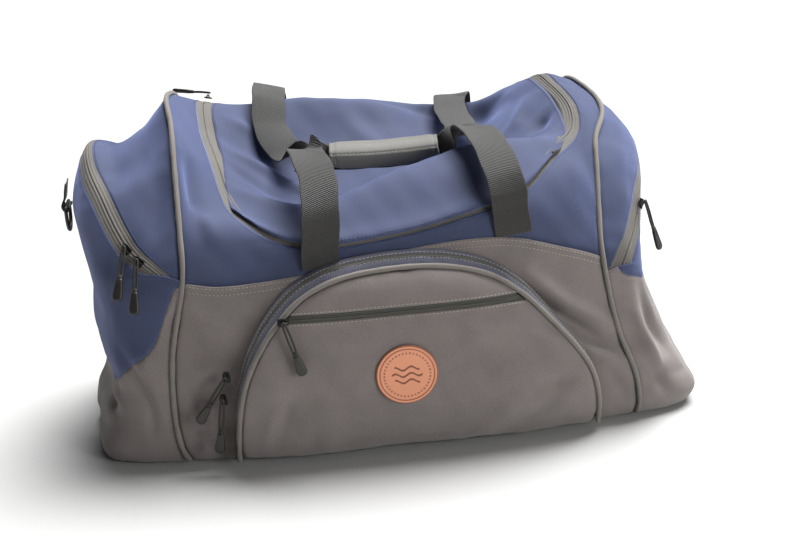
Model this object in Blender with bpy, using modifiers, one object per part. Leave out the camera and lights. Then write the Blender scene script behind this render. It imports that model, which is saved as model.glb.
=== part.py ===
"""A soft travel duffel bag: sewn body, zipped lid, end pockets, front pocket, web handles and a wrap grip.

X runs along the bag, the front faces -Y, +Z is up, and the origin is on the floor under the middle of its main body.
Lengths in the tables are millimetres; MM turns them into Blender's metres.
"""

import math

import bmesh
import bpy
from mathutils import Matrix, Vector

MM = 0.001

# --- Driving dimensions, in millimetres -------------------------------------------------------
SHEET = 2.4  # coated cloth with its lining, as one wall
GAP = 0.5  # clearance between neighbouring pieces
SEAM = 3.2  # clearance along a seam between curved panels
PIPING_R = 2.8
TAPE_W = 8.0  # each half of a zip, beside its coil
COIL_HALF = 1.0  # half of the space that a zip's coil takes
WEB_W = 38.0  # webbing width
WEB_T = 1.8
BASE_T = 2.2
HEM_Z = 3.2  # the walls start just above the base panel
LID_SEAM_ROW = 10.0
LID_HALF = 0.80  # lid's half width, as a share of the body between the two pipings
LID_ROWS = 6.0  # rows from the lid's rear seam to its front edge
LID_ROUND = 5.0  # exponent of the rounded lid outline
ROW_PITCH = 38.0  # mean distance between rows
HALF_BODY = 240.0  # mean half distance between the pipings
LID_AXIS = (147.5, 290.0)  # y, z of the lid's rear seam
GRIP_R = 11.0
GRIP_SHELL_R = 14.0
GRIP_X = (-64.0, 50.0)
GRIP_YZ = (-30.0, 290.0)
FRONT_HINGE = (Vector((-91, -157, 222)), Vector((104, -153, 248)))
REAR_HINGE = (153.5, 281.0)
POCKET_HINGE = (-166.0, 8.0)

# Stations across the bag, from the left piping (-1) to the right piping (+1).
STATIONS = (-1.0, -0.8, -0.4, 0.0, 0.4, 0.8, 1.0)
# Rows run from the front hem, up the front, over the sagging top and down the back to the rear hem.
ROWS = (
    ((-245, -150, 3.2), (-190, -156, 3.2), (-95, -160, 3.2), (0, -160, 3.2), (95, -160, 3.2), (190, -156, 3.2), (245, -150, 3.2)),
    ((-251, -152, 55), (-193, -160, 55), (-96, -164, 55), (0, -165, 55), (95, -164, 55), (186, -160, 55), (237, -155, 55)),
    ((-247, -151, 125), (-192, -157, 125), (-96, -160, 125), (0, -161, 125), (92, -160, 125), (178, -156, 120), (217, -150, 112)),
    ((-230, -146, 200), (-189, -150, 194), (-96, -152, 201), (-5, -153, 217), (92, -152, 221), (168, -147, 200), (204, -142, 186)),
    ((-228, -128, 244), (-188, -124, 244), (-96, -144, 231), (0, -146, 238), (96, -137, 257), (176, -116, 260), (206, -120, 227)),
    ((-229, -80, 305), (-189, -80, 264), (-96, -96, 254), (0, -84, 282), (96, -64, 299), (192, -72, 288), (213, -88, 270)),
    ((-230, -40, 338), (-190, -20, 292), (-96, -45, 240), (0, -35, 250), (96, -20, 266), (204, -40, 305), (220, -60, 293)),
    ((-234, 5, 358), (-196, 30, 313), (-96, 25, 258), (0, 30, 264), (96, 35, 272), (206, 0, 320), (240, -15, 312)),
    ((-228, 60, 352), (-196, 85, 334), (-96, 88, 302), (0, 88, 290), (96, 88, 277), (198, 50, 332), (240, 35, 324)),
    ((-224, 112, 328), (-184, 124, 319), (-96, 124, 325), (0, 124, 313), (96, 124, 286), (190, 98, 334), (226, 92, 329)),
    ((-228, 140, 280), (-185, 148, 290), (-96, 148, 290), (0, 148, 290), (96, 148, 290), (180, 146, 290), (228, 136, 284)),
    ((-246, 152, 130), (-190, 160, 140), (-96, 164, 140), (0, 165, 140), (96, 164, 140), (190, 160, 140), (243, 150, 130)),
    ((-245, 150, 3.2), (-190, 156, 3.2), (-95, 160, 3.2), (0, 160, 3.2), (95, 160, 3.2), (190, 156, 3.2), (245, 150, 3.2)),
)
LAST_ROW = len(ROWS) - 1
# Where each end pocket's outer face stands in x, at the hem, half way up, at the top and back down.
END_X = {-1: (-348, -330, -343, -330, -348), 1: (316, 296, 292, 296, 316)}
END_SPLIT_Z = {-1: 196.0, 1: 160.0}  # an end's zipped flap hangs from a seam at this height
END_DROP = {-1: 0.985, 1: 0.93}  # how much lower an end pocket's top is than its piping
# How far an end's face is pinched in at each height, and how far its crown sags at each share outwards.
PINCH_Z = (0, 22, 46, 72, 96, 120, 142, 166, 190, 214, 238, 262, 288, 315)
PINCH = {
    -1: (0, 1, 5, 15, 12, 8, 8, 8, 5, 0, -3, -4, -2, 0),
    1: (-8, -16, -9, 3, 11, 18, 26, 30, 27, 21, 14, 5, -2, -3),
}
SAG_OUT = (0.0, 0.06, 0.15, 0.3, 0.45, 0.7, 1.0)
SAG = {-1: (0, 13, 28, 31, 7, 0, 0), 1: (0, 3, 5, 4, 2, 0, 0)}
SAG_ROWS = ((0, 4, 6, 9, 11, 12), (0, 0, 1, 1, 0.1, 0))
DIP = (0.54, 8.8, 20.0)  # a hollow in the lid's rear crest: its share across, its row and its depth
# Half of an end pocket's plan outline: share of the reach, then share of the ring.
PROFILE_STEPS = (0.0, 0.25, 0.5, 0.75, 1.0)
OVAL = ((0, 1), (0.38, 0.92), (0.71, 0.71), (0.92, 0.38), (1, 0))
BOXY = ((0, 1), (0.46, 0.985), (0.88, 0.87), (0.985, 0.48), (1, 0))
END_ZIP_ROWS = {-1: (3.0, 10.6), 1: (2.7, 10.6)}  # an end zip runs between these rows
# Front pocket outline: x and z of its piping, from the lower left round to the lower right.
POCKET_EDGE = (
    (-190, 6), (-188, 40), (-182, 80), (-172, 110), (-157, 138), (-138, 163), (-112, 186), (-75, 200),
    (-25, 205), (28, 203), (75, 191), (110, 168), (140, 136), (168, 101), (184, 72), (191, 40), (192, 8),
)
POCKET_RIM_Y = (-166, -177, -184, -185, -185, -184, -181, -176, -173, -173, -175, -179, -182, -182, -179, -175, -167)
POCKET_ZIP_Z = 165.0
POCKET_ZIP_X = (-142.0, 128.0)
POCKET_FACE_Y = -187.0

COLOURS = {
    "blue_cloth": ((0.085, 0.115, 0.285), 0.75, 0.0),
    "grey_cloth": ((0.165, 0.150, 0.138), 0.80, 0.0),
    "navy_cloth": ((0.045, 0.050, 0.105), 0.80, 0.0),
    "grey_trim": ((0.235, 0.215, 0.190), 0.70, 0.0),
    "black_web": ((0.040, 0.038, 0.034), 0.65, 0.0),
    "black_plastic": ((0.020, 0.020, 0.020), 0.40, 0.0),
    "black_metal": ((0.030, 0.030, 0.030), 0.35, 0.8),
    "tan_leather": ((0.640, 0.250, 0.130), 0.55, 0.0),
    "board": ((0.060, 0.060, 0.060), 0.60, 0.0),
}


# --- Scene, materials and bodies --------------------------------------------------------------
for old in list(bpy.data.objects):
    bpy.data.objects.remove(old)
BAG = bpy.data.collections.new("duffel_bag")
bpy.context.scene.collection.children.link(BAG)


def material(name):
    """The Principled material of that name, made the first time it is asked for."""
    found = bpy.data.materials.get(name)
    if found:
        return found
    colour, roughness, metallic = COLOURS[name]
    made = bpy.data.materials.new(name)
    made.use_nodes = True
    shader = made.node_tree.nodes["Principled BSDF"]
    shader.inputs["Base Color"].default_value = (*colour, 1)
    shader.inputs["Roughness"].default_value = roughness
    shader.inputs["Metallic"].default_value = metallic
    return made


def joint_empty(name, at):
    """An empty on a joint's axis, for the pieces that move with it."""
    empty = bpy.data.objects.new(name, None)
    empty.location = Vector(at) * MM
    BAG.objects.link(empty)
    return empty


def add(name, data, cloth, parent=None):
    """A named object with one material, kept in place under its parent."""
    piece = bpy.data.objects.new(name, data)
    data.materials.append(material(cloth))
    BAG.objects.link(piece)
    if parent:
        piece.parent = parent
        piece.matrix_parent_inverse = Matrix.Translation(-parent.location)
    return piece


# --- Smooth curves and the two skins ----------------------------------------------------------
def smooth(stations, values, at):
    """A smooth curve through values at rising stations."""
    at = min(max(at, stations[0]), stations[-1])
    i = 0
    while i < len(stations) - 2 and at > stations[i + 1]:
        i += 1

    def slope(j):
        low, high = max(j - 1, 0), min(j + 1, len(values) - 1)
        return (values[high] - values[low]) / (stations[high] - stations[low])

    step = stations[i + 1] - stations[i]
    t = (at - stations[i]) / step
    start, end = values[i], values[i + 1]
    bend = slope(i) * step * (t - 2 * t**2 + t**3) + slope(i + 1) * step * (t**3 - t**2)
    return start * (1 - 3 * t**2 + 2 * t**3) + end * (3 * t**2 - 2 * t**3) + bend


ROW_VECTORS = [[Vector(p) for p in row] for row in ROWS]
ROW_NUMBERS = [float(i) for i in range(len(ROWS))]


def body_skin(across, row):
    """A point of the main body: across from -1 to 1, row from 0 to 12."""
    column = [smooth(STATIONS, line, across) for line in ROW_VECTORS]
    point = smooth(ROW_NUMBERS, column, row)
    point.z -= DIP[2] * math.exp(-(((across - DIP[0]) / 0.09) ** 2) - ((row - DIP[1]) / 0.7) ** 2)
    return point


def end_skin(side, out, row):
    """A point of an end pocket: out is 0 at its piping and 1 at the foot of its end face."""
    ring = body_skin(side, row)
    boxy = math.sin(math.pi * row / LAST_ROW) ** 0.7
    boxy = max(boxy, 0.7 * math.exp(-((min(row, LAST_ROW - row) / 1.2) ** 2)))
    oval = [smooth(PROFILE_STEPS, [p[i] for p in OVAL], out) for i in (0, 1)]
    box = [smooth(PROFILE_STEPS, [p[i] for p in BOXY], out) for i in (0, 1)]
    reach, share = (a + (b - a) * boxy for a, b in zip(oval, box))
    far = smooth((0, 3, 7, 10, 12), END_X[side], row)
    far += (END_X[side][0] - far) * out**4
    drop = 1 - (1 - END_DROP[side]) * min(1, 2 * out)
    x, z = ring.x + (far - ring.x) * reach, HEM_Z + (ring.z - HEM_Z) * share * drop
    z -= smooth(SAG_OUT, SAG[side], out) * smooth(*SAG_ROWS, row)
    x -= side * smooth(PINCH_Z, PINCH[side], min(max(z, 0), PINCH_Z[-1])) * min(1, 2 * out) ** 2
    return Vector((x, ring.y * share, z))


def normal_of(skin, a, b, step=0.02):
    """The outward unit normal of a skin at a, b."""
    across = skin(a + step, b) - skin(a - step, b)
    along = skin(a, b + step) - skin(a, b - step)
    normal = across.cross(along).normalized()
    here = skin(a, b)
    return normal if normal.dot(here - Vector((0, 0, 140))) > 0 else -normal


# --- Ways to make a piece ---------------------------------------------------------------------
def grid_mesh(name, rows, outside=None):
    """An open sheet through rows of points, its faces turned away from the bag's middle."""
    mesh = bpy.data.meshes.new(name)
    build = bmesh.new()
    lines = [[build.verts.new(p * MM) for p in row] for row in rows]
    for low, high in zip(lines, lines[1:]):
        for i in range(len(low) - 1):
            build.faces.new((low[i], low[i + 1], high[i + 1], high[i]))
    bmesh.ops.remove_doubles(build, verts=build.verts, dist=1e-6)
    build.normal_update()
    middle = outside or Vector((0, 0, 0.14))
    facing = sum(f.normal.dot(f.calc_center_median() - middle) * f.calc_area() for f in build.faces)
    if facing < 0:
        bmesh.ops.reverse_faces(build, faces=build.faces)
    build.to_mesh(mesh)
    build.free()
    mesh.shade_smooth()
    return mesh


def sheet(name, rows, cloth, parent=None, thick=SHEET, offset=-1.0, outside=None):
    """A sewn panel: an open surface given thickness on its inner side."""
    piece = add(name, grid_mesh(name, rows, outside), cloth, parent)
    shell = piece.modifiers.new("Cloth", "SOLIDIFY")
    shell.thickness = thick * MM
    shell.offset = offset
    return piece


def spaced(low, high, count):
    return [low + (high - low) * i / (count - 1) for i in range(count)]


def patch(skin, firsts, seconds):
    return [[skin(a, b) for b in seconds] for a in firsts]


def tube(name, points, radius, cloth, parent=None, closed=False, sides=1):
    """A round cord or rod along points."""
    curve = bpy.data.curves.new(name, "CURVE")
    curve.dimensions = "3D"
    line = curve.splines.new("POLY")
    line.points.add(len(points) - 1)
    for place, p in zip(line.points, points):
        place.co = (*(p * MM), 1)
    line.use_cyclic_u = closed
    curve.bevel_depth = radius * MM
    curve.bevel_resolution = sides
    curve.use_fill_caps = not closed
    return add(name, curve, cloth, parent)


def plate(name, outlines, thick, cloth, matrix=None, parent=None):
    """A flat outline, with any holes after it, given thickness about its own plane."""
    curve = bpy.data.curves.new(name, "CURVE")
    curve.dimensions = "2D"
    curve.fill_mode = "BOTH"
    for outline in outlines:
        line = curve.splines.new("POLY")
        line.points.add(len(outline) - 1)
        for place, (x, y) in zip(line.points, outline):
            place.co = (x * MM, y * MM, 0, 1)
        line.use_cyclic_u = True
    curve.extrude = thick * MM / 2
    piece = add(name, curve, cloth, parent)
    if matrix is not None:
        piece.matrix_basis = matrix
    return piece


def placed(at, x_axis, z_axis):
    """The matrix of an object at a point, with its own x and z axes along these directions."""
    z = z_axis.normalized()
    x = (x_axis - z * x_axis.dot(z)).normalized()
    y = z.cross(x)
    turn = Matrix((x, y, z)).transposed().to_4x4()
    return Matrix.Translation(at * MM) @ turn


def circle(radius, count, centre=(0, 0)):
    turns = [2 * math.pi * i / count for i in range(count)]
    return [(centre[0] + radius * math.cos(a), centre[1] + radius * math.sin(a)) for a in turns]


# --- The zipped lid's outline -----------------------------------------------------------------
LID_CORNER = 0.29  # share of the zip's run at which its left side turns into its front
CORNER = 0.5 ** (1 / LID_ROUND)


def lid_outline(turn, across_more=0.0, rows_more=0.0):
    """Across and row of the lid's U-shaped zip. turn: 0 left rear, 0.5 front, 1 right rear."""
    side = 1 if turn > 0.5 else -1
    from_rear = min(turn, 1 - turn) / LID_CORNER
    if from_rear < 1:
        down = from_rear * CORNER
        out = (1 - down**LID_ROUND) ** (1 / LID_ROUND)
    else:
        out = CORNER * abs(turn - 0.5) / (0.5 - LID_CORNER)
        down = (1 - out**LID_ROUND) ** (1 / LID_ROUND)
    return side * (LID_HALF + across_more) * out, LID_SEAM_ROW - (LID_ROWS + rows_more) * down


def lid_edge(turn, offset=0.0):
    """The same, moved outwards by a distance over the cloth."""
    if offset == 0:
        return lid_outline(turn)
    probe = math.copysign(4, offset)
    start = lid_outline(turn)
    end = lid_outline(turn, probe / HALF_BODY, probe / ROW_PITCH)
    step = (body_skin(*end) - body_skin(*start)).length
    return tuple(p + (q - p) * abs(offset) / step for p, q in zip(start, end))


def zip_band(low, high, turns, lift=0.0):
    """Rows of points along the lid's zip, between two offsets."""
    rows = []
    for offset in (low, high):
        line = []
        for turn in turns:
            across, row = lid_edge(turn, offset)
            line.append(body_skin(across, row) + normal_of(body_skin, across, row) * lift)
        rows.append(line)
    return rows


def lid_point(p, q, inset):
    """Across and row inside the lid: p from left to right, q from the rear seam to the front."""
    left = lid_edge(LID_CORNER * q, inset)
    right = lid_edge(1 - LID_CORNER * q, inset)
    front = lid_edge(LID_CORNER + (1 - 2 * LID_CORNER) * p, inset)
    rear = (left_rear[0] + (right_rear[0] - left_rear[0]) * p, LID_SEAM_ROW)
    corner_l, corner_r = lid_edge(LID_CORNER, inset), lid_edge(1 - LID_CORNER, inset)
    found = []
    for i in (0, 1):
        edges = (1 - q) * rear[i] + q * front[i] + (1 - p) * left[i] + p * right[i]
        corners = (1 - p) * (1 - q) * left_rear[i] + p * (1 - q) * right_rear[i]
        found.append(edges - corners - (1 - p) * q * corner_l[i] - p * q * corner_r[i])
    return found


LID_INSET = -(TAPE_W + COIL_HALF + SEAM)
left_rear = lid_edge(0, LID_INSET)
right_rear = lid_edge(1, LID_INSET)


def make_lid():
    hinge = joint_empty("lid_joint", (0, *LID_AXIS))
    rows = []
    for q in spaced(0.02, 1, 15):
        rows.append([body_skin(*lid_point(p, q, LID_INSET)) for p in spaced(0, 1, 21)])
    sheet("lid_panel", rows, "blue_cloth", hinge)
    turns = spaced(0.012, 0.988, 49)
    sheet("lid_zip_inner", zip_band(-COIL_HALF, -(TAPE_W + COIL_HALF), turns), "grey_trim", hinge)
    sheet("lid_zip_outer", zip_band(COIL_HALF, TAPE_W + COIL_HALF, turns), "grey_trim")
    return hinge


# --- Body panels ------------------------------------------------------------------------------
BESIDE = 4.6  # panels stop this far from a piping's middle
OUTER_ROW = 3.06


def beside_piping(side, row, distance=BESIDE):
    """How far across the body a point at a distance from the piping lies."""
    inward = (body_skin(side, row) - body_skin(side * 0.96, row)).length / 0.04
    return side * (1 - distance / inward)


def body_rows(rows, count=19):
    """Rows of points across the body, from beside one piping to beside the other."""
    return [[body_skin(a, r) for a in spaced(beside_piping(-1, r), beside_piping(1, r), count)] for r in rows]


def yoke_point(turn, w):
    """A point of the band round the lid: w is 0 at the zip and 1 at the piping or the lower panel."""
    inner = lid_edge(turn, TAPE_W + COIL_HALF + SEAM)
    from_rear = min(turn, 1 - turn) / LID_CORNER
    row = LID_SEAM_ROW - (LID_SEAM_ROW - OUTER_ROW) * min(from_rear, 1)
    share = 1 if from_rear < 1 else abs(turn - 0.5) / (0.5 - LID_CORNER)
    side = 1 if turn > 0.5 else -1
    outer = (beside_piping(side, row) * share, row)
    return body_skin(*(a + (b - a) * w for a, b in zip(inner, outer)))


def make_body():
    sheet("front_panel", body_rows(spaced(0, 2.96, 9)), "grey_cloth")
    sheet("back_panel_lower", body_rows(spaced(10.72, 12, 6)), "grey_cloth")
    sheet("back_panel_upper", body_rows(spaced(10.04, 10.70, 4)), "blue_cloth")
    for name, low, high, count in (("left_yoke", 0, 0.289, 12), ("front_yoke", 0.291, 0.709, 17), ("right_yoke", 0.711, 1, 12)):
        rows = patch(yoke_point, spaced(low, high, count), spaced(0, 1, 5))
        sheet(name, rows, "blue_cloth")


def ring_outline(side, inset, z_floor):
    """The body's section at a piping, drawn in by inset, as y, z pairs."""
    pairs = []
    for row in spaced(0, LAST_ROW, 33):
        p = body_skin(side, row)
        out = Vector((0, p.y, p.z - 150)).normalized()
        q = p - out * inset
        pairs.append((q.y, max(q.z, z_floor)))
    return pairs


def make_bulkheads():
    """The two walls between the main compartment and the end pockets."""
    stand = placed(Vector((0, 0, 0)), Vector((0, 1, 0)), Vector((1, 0, 0)))
    for side, name, x in ((-1, "left_bulkhead", -231), (1, "right_bulkhead", 222)):
        outline = ring_outline(side, 20, 7)
        plate(name, [outline], SHEET, "grey_cloth", Matrix.Translation((x * MM, 0, 0)) @ stand)


def make_base():
    """The sewn base panel under everything, and the stiffener board that lies on it."""
    outline = []
    for side in (-1, 1):
        for row in (0, LAST_ROW) if side < 0 else (LAST_ROW, 0):
            outs = spaced(0, 1, 10)
            steps = outs if (row == 0) == (side < 0) else outs[::-1]
            outline += [tuple(end_skin(side, out, row).xy) for out in steps]
        edge_row = LAST_ROW if side < 0 else 0
        middle = spaced(-0.9, 0.9, 9)
        if side < 0:
            outline += [tuple(body_skin(a, edge_row).xy) for a in middle]
    outline += [tuple(body_skin(a, 0).xy) for a in reversed(spaced(-0.9, 0.9, 9))]
    cleaned = [p for p, q in zip(outline, outline[1:] + outline[:1]) if math.dist(p, q) > 0.5]
    lift = Matrix.Translation((0, 0, BASE_T * MM / 2))
    plate("base_panel", [cleaned], BASE_T, "grey_cloth", lift)
    board = []
    for cx, cy, start in ((190, 115, 0), (-190, 115, 90), (-190, -115, 180), (190, -115, 270)):
        for step in range(4):
            turn = math.radians(start + 30 * step)
            board.append((cx + 18 * math.cos(turn), cy + 18 * math.sin(turn)))
    plate("base_board", [board], 3.0, "board", Matrix.Translation((0, 0, (BASE_T + 0.4 + 1.5) * MM)))


def make_pipings():
    for side, name in ((-1, "left_piping"), (1, "right_piping")):
        points = []
        for row in spaced(0.08, LAST_ROW - 0.08, 45):
            points.append(body_skin(side, row) + normal_of(body_skin, side * 0.97, row) * 0.6)
        tube(name, points, PIPING_R, "grey_trim")


# --- End pockets ------------------------------------------------------------------------------
def end_zip_out(side, row):
    """How far out on the end pocket its zip runs at that row."""
    low, high = END_ZIP_ROWS[side]
    share = min(max((row - low) / (high - low), 0), 1)
    return 0.05 + 0.40 * math.sin(math.pi * share) ** 0.6


def end_rows(side, row_list, from_out, to_out, count):
    rows = []
    for row in row_list:
        low, high = from_out(row), to_out(row)
        rows.append([end_skin(side, out, row) for out in spaced(low, high, count)])
    return rows


def end_out_at(side, row, distance):
    """How far out on the end pocket a point at a distance from its piping lies."""
    return 0.03 * distance / (end_skin(side, 0.03, row) - end_skin(side, 0, row)).length


def end_split_out(side, row, z):
    """How far out on the end pocket its skin comes down to a height."""
    low, high = 0.05, 1.0
    for _ in range(20):
        middle = (low + high) / 2
        if end_skin(side, middle, row).z > z:
            low = middle
        else:
            high = middle
    return low


def make_end(side, name):
    """One end pocket: the gusset inside its zip, the zip's two tapes, and below it a flap and a fixed panel."""
    low, high = END_ZIP_ROWS[side]
    split_z = END_SPLIT_Z[side]
    foot = end_skin(side, end_split_out(side, 7, split_z), 7)
    hinge = joint_empty(f"{name}_end_joint", (foot.x, 0, split_z))
    inner = lambda row: end_out_at(side, row, BESIDE)
    rows = end_rows(side, spaced(low + 0.12, high - 0.12, 27), inner, lambda row: end_zip_out(side, row) - 0.066, 5)
    sheet(f"{name}_end_gusset", rows, "blue_cloth")
    zip_rows = spaced(low + 0.35, high - 0.35, 27)
    for part, a, b, parent in (("inner", -0.058, -0.010, None), ("outer", 0.012, 0.060, hinge)):
        rows = end_rows(side, zip_rows, lambda r, a=a: end_zip_out(side, r) + a, lambda r, b=b: end_zip_out(side, r) + b, 2)
        sheet(f"{name}_end_zip_{part}", rows, "grey_trim", parent)
    first, last = low + 0.1, high - 0.1
    flap_rows = spaced(first, last, 23)
    rows = end_rows(side, flap_rows, lambda r: end_zip_out(side, r) + 0.071, lambda r: end_split_out(side, r, split_z + 1), 7)
    sheet(f"{name}_end_flap", rows, "blue_cloth", hinge)
    rows = []
    for row in spaced(0, low - 0.1, 5) + flap_rows + spaced(high + 0.1, LAST_ROW, 4):
        start = end_split_out(side, row, split_z - 1) if first <= row <= last else inner(row)
        rows.append([end_skin(side, out, row) for out in spaced(start, 1, 8)])
    sheet(f"{name}_end_panel", rows, "grey_cloth")
    return hinge


# --- Front pocket -----------------------------------------------------------------------------
POCKET_STEPS = [float(i) for i in range(len(POCKET_EDGE))]
POCKET_VECTORS = [Vector((x, y, z)) for (x, z), y in zip(POCKET_EDGE, POCKET_RIM_Y)]
POCKET_LAST = POCKET_STEPS[-1]


def rim(step):
    return smooth(POCKET_STEPS, POCKET_VECTORS, step)


def drawn_in(p, inset):
    """A rim point moved towards the pocket's middle."""
    middle = Vector((0, p.y, 60))
    return p + (middle - p).normalized() * inset


def front_y(x, z):
    """The front panel's y behind the pocket."""
    low, high = 0.0, 3.0
    for _ in range(20):
        middle = (low + high) / 2
        if body_skin(x / HALF_BODY, middle).z < z:
            low = middle
        else:
            high = middle
    return body_skin(x / HALF_BODY, low).y


def face_point(x_share, z, inset=4.6):
    """A point of the pocket's face at a height, from its left edge (-1) to its right edge (1)."""
    a, b = rim_at_height(z, True, inset), rim_at_height(z, False, inset)
    t = (x_share + 1) / 2
    p = a + (b - a) * t
    swell = (1 - abs(x_share) ** 3) * smooth((3, 50, 110, 165, 200), (4, 8, 6, 1, 0.5), z)
    edge = a.y + (b.y - a.y) * t
    flat = POCKET_FACE_Y if z > 90 else smooth((3, 50, 90), (-172, -183, POCKET_FACE_Y), z)
    blend = 1 - abs(x_share) ** 4
    return Vector((p.x, edge + (min(flat, edge) - edge) * blend - swell * 0.4, z))


def rim_at_height(z, left, inset):
    """The drawn-in rim at that height on one side of the pocket's crown, which is at step 8."""
    low, high = (0.0, 8.0) if left else (8.0, POCKET_LAST)
    for _ in range(24):
        middle = (low + high) / 2
        below = drawn_in(rim(middle), inset).z < z
        if below == left:
            low = middle
        else:
            high = middle
    return drawn_in(rim((low + high) / 2), inset)


def make_pocket():
    hinge = joint_empty("pocket_joint", (0, *POCKET_HINGE))
    steps = spaced(0.1, POCKET_LAST - 0.1, 37)
    front = Vector((0, -2.0, 0.1))
    wall = []
    for step in steps:
        p = rim(step)
        back = Vector((p.x, front_y(p.x, p.z) - 1.2, p.z))
        near = Vector((p.x, p.y + PIPING_R + 1.6, p.z))
        grow = (p - Vector((0, p.y, 60))).normalized() * 1.5
        wall.append([near, (near + back) / 2 + grow, back])
    sheet("pocket_gusset", wall, "navy_cloth", outside=Vector((0, -0.17, 0.06)))
    tube("pocket_piping", [rim(s) for s in steps], PIPING_R, "grey_trim", hinge)
    upper_heights = spaced(POCKET_ZIP_Z + 7.5, 196, 5)
    lower_heights = spaced(8.5, POCKET_ZIP_Z - 7.5, 9)
    shares = spaced(-1, 1, 17)
    for name, heights in (("pocket_face_upper", upper_heights), ("pocket_face_lower", lower_heights)):
        rows = [[face_point(a, z) for a in shares] for z in heights]
        sheet(name, rows, "grey_cloth", hinge, thick=2.0, outside=Vector((0, 0, 0.1)))
    for name, low, high in (("pocket_zip_upper", 1, 7), ("pocket_zip_lower", -7, -1)):
        rows = [[face_point(a, POCKET_ZIP_Z + dz) for a in shares] for dz in (low, high)]
        sheet(name, rows, "grey_trim", hinge, thick=1.6, outside=Vector((0, 0, 0.1)))
    at = Vector((-14, POCKET_FACE_Y - 4.6, 97))
    spot = placed(at, Vector((1, 0, 0)), Vector((0, -1, 0)))
    plate("leather_patch", [circle(32, 40)], 2.0, "tan_leather", spot, None)
    badge = bpy.data.objects["leather_patch"]
    badge.parent = hinge
    badge.matrix_parent_inverse = Matrix.Translation(-hinge.location)
    return hinge


# --- Zip sliders and their pulls --------------------------------------------------------------
SLIDER_SIDE = ((-6, 0), (6, 0), (6, 2.2), (3.2, 2.2), (2.4, 4.6), (-2.4, 4.6), (-3.2, 2.2), (-6, 2.2))
PULL_NECK = 2.6
PULL_TIP = 5.5


def pull_outline(length):
    """A cord pull lying along -x from its eye: a slim cord, then a moulded tip with a round end."""
    tip = length - 22
    side = [(-5, PULL_NECK), (-tip, PULL_NECK), (-tip - 1.5, PULL_TIP)]
    round_end = []
    for step in range(7):
        turn = math.radians(90 + 30 * step)
        round_end.append((-length + PULL_TIP + PULL_TIP * math.cos(turn), PULL_TIP * math.sin(turn)))
    mirrored = [(x, -y) for x, y in reversed(side)]
    eye = [(-2.0, -PULL_NECK), (0.6, 0), (-2.0, PULL_NECK)]
    return side + round_end + mirrored + eye


def make_slider(name, at, travel, normal, hang, length=58.0, parent=None, lift=1.2):
    """A slider on its zip, with its cord pull swinging about the normal at its eye."""
    foot = at + normal * lift
    side_axis = normal.cross(travel).normalized()
    body = placed(foot, travel, side_axis)
    slide = joint_empty(f"{name}_travel", at)
    if parent:
        slide.parent = parent
        slide.matrix_parent_inverse = Matrix.Translation(-parent.location)
    flip = 1 if (body.to_3x3() @ Vector((0, 1, 0))).dot(normal) > 0 else -1
    plate(f"{name}_slider", [[(x, y * flip) for x, y in SLIDER_SIDE]], 9.0, "black_metal", body)
    eye = at + normal * (lift + 4.6 + 0.9 + 1.3)
    pull = placed(eye, -hang, normal)
    plate(f"{name}_pull", [pull_outline(length)], 2.6, "black_plastic", pull)
    for part in ("slider", "pull"):
        piece = bpy.data.objects[f"{name}_{part}"]
        piece.parent = slide
        piece.matrix_parent_inverse = Matrix.Translation(-Vector(at) * MM)


# --- Webbing, handles and grip ----------------------------------------------------------------
def ribbon(name, stops, cloth, parent=None, width=WEB_W, count=15):
    """Webbing along stops: each is a centre, the direction of its width and, where it is folded, its share."""
    steps = [float(i) for i in range(len(stops))]
    centres = [Vector(stop[0]) for stop in stops]
    widths = [Vector(stop[1]).normalized() for stop in stops]
    shares = [stop[2] if len(stop) > 2 else 1.0 for stop in stops]
    rows = []
    for step in spaced(0, steps[-1], count):
        c = smooth(steps, centres, step)
        w = smooth(steps, widths, step).normalized() * width / 2 * smooth(steps, shares, step)
        rows.append([c - w, c, c + w])
    return sheet(name, rows, cloth, parent, thick=WEB_T, offset=0.0)


def sewn_strap(name, across, rows, width=WEB_W):
    """Webbing stitched flat on the body."""
    half = width / 2 / HALF_BODY
    lines = []
    for row in rows:
        line = []
        for a in (across - half, across, across + half):
            line.append(body_skin(a, row) + normal_of(body_skin, a, row) * (WEB_T + GAP))
        lines.append(line)
    sheet(name, lines, "black_web", thick=WEB_T, offset=-1.0)


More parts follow.
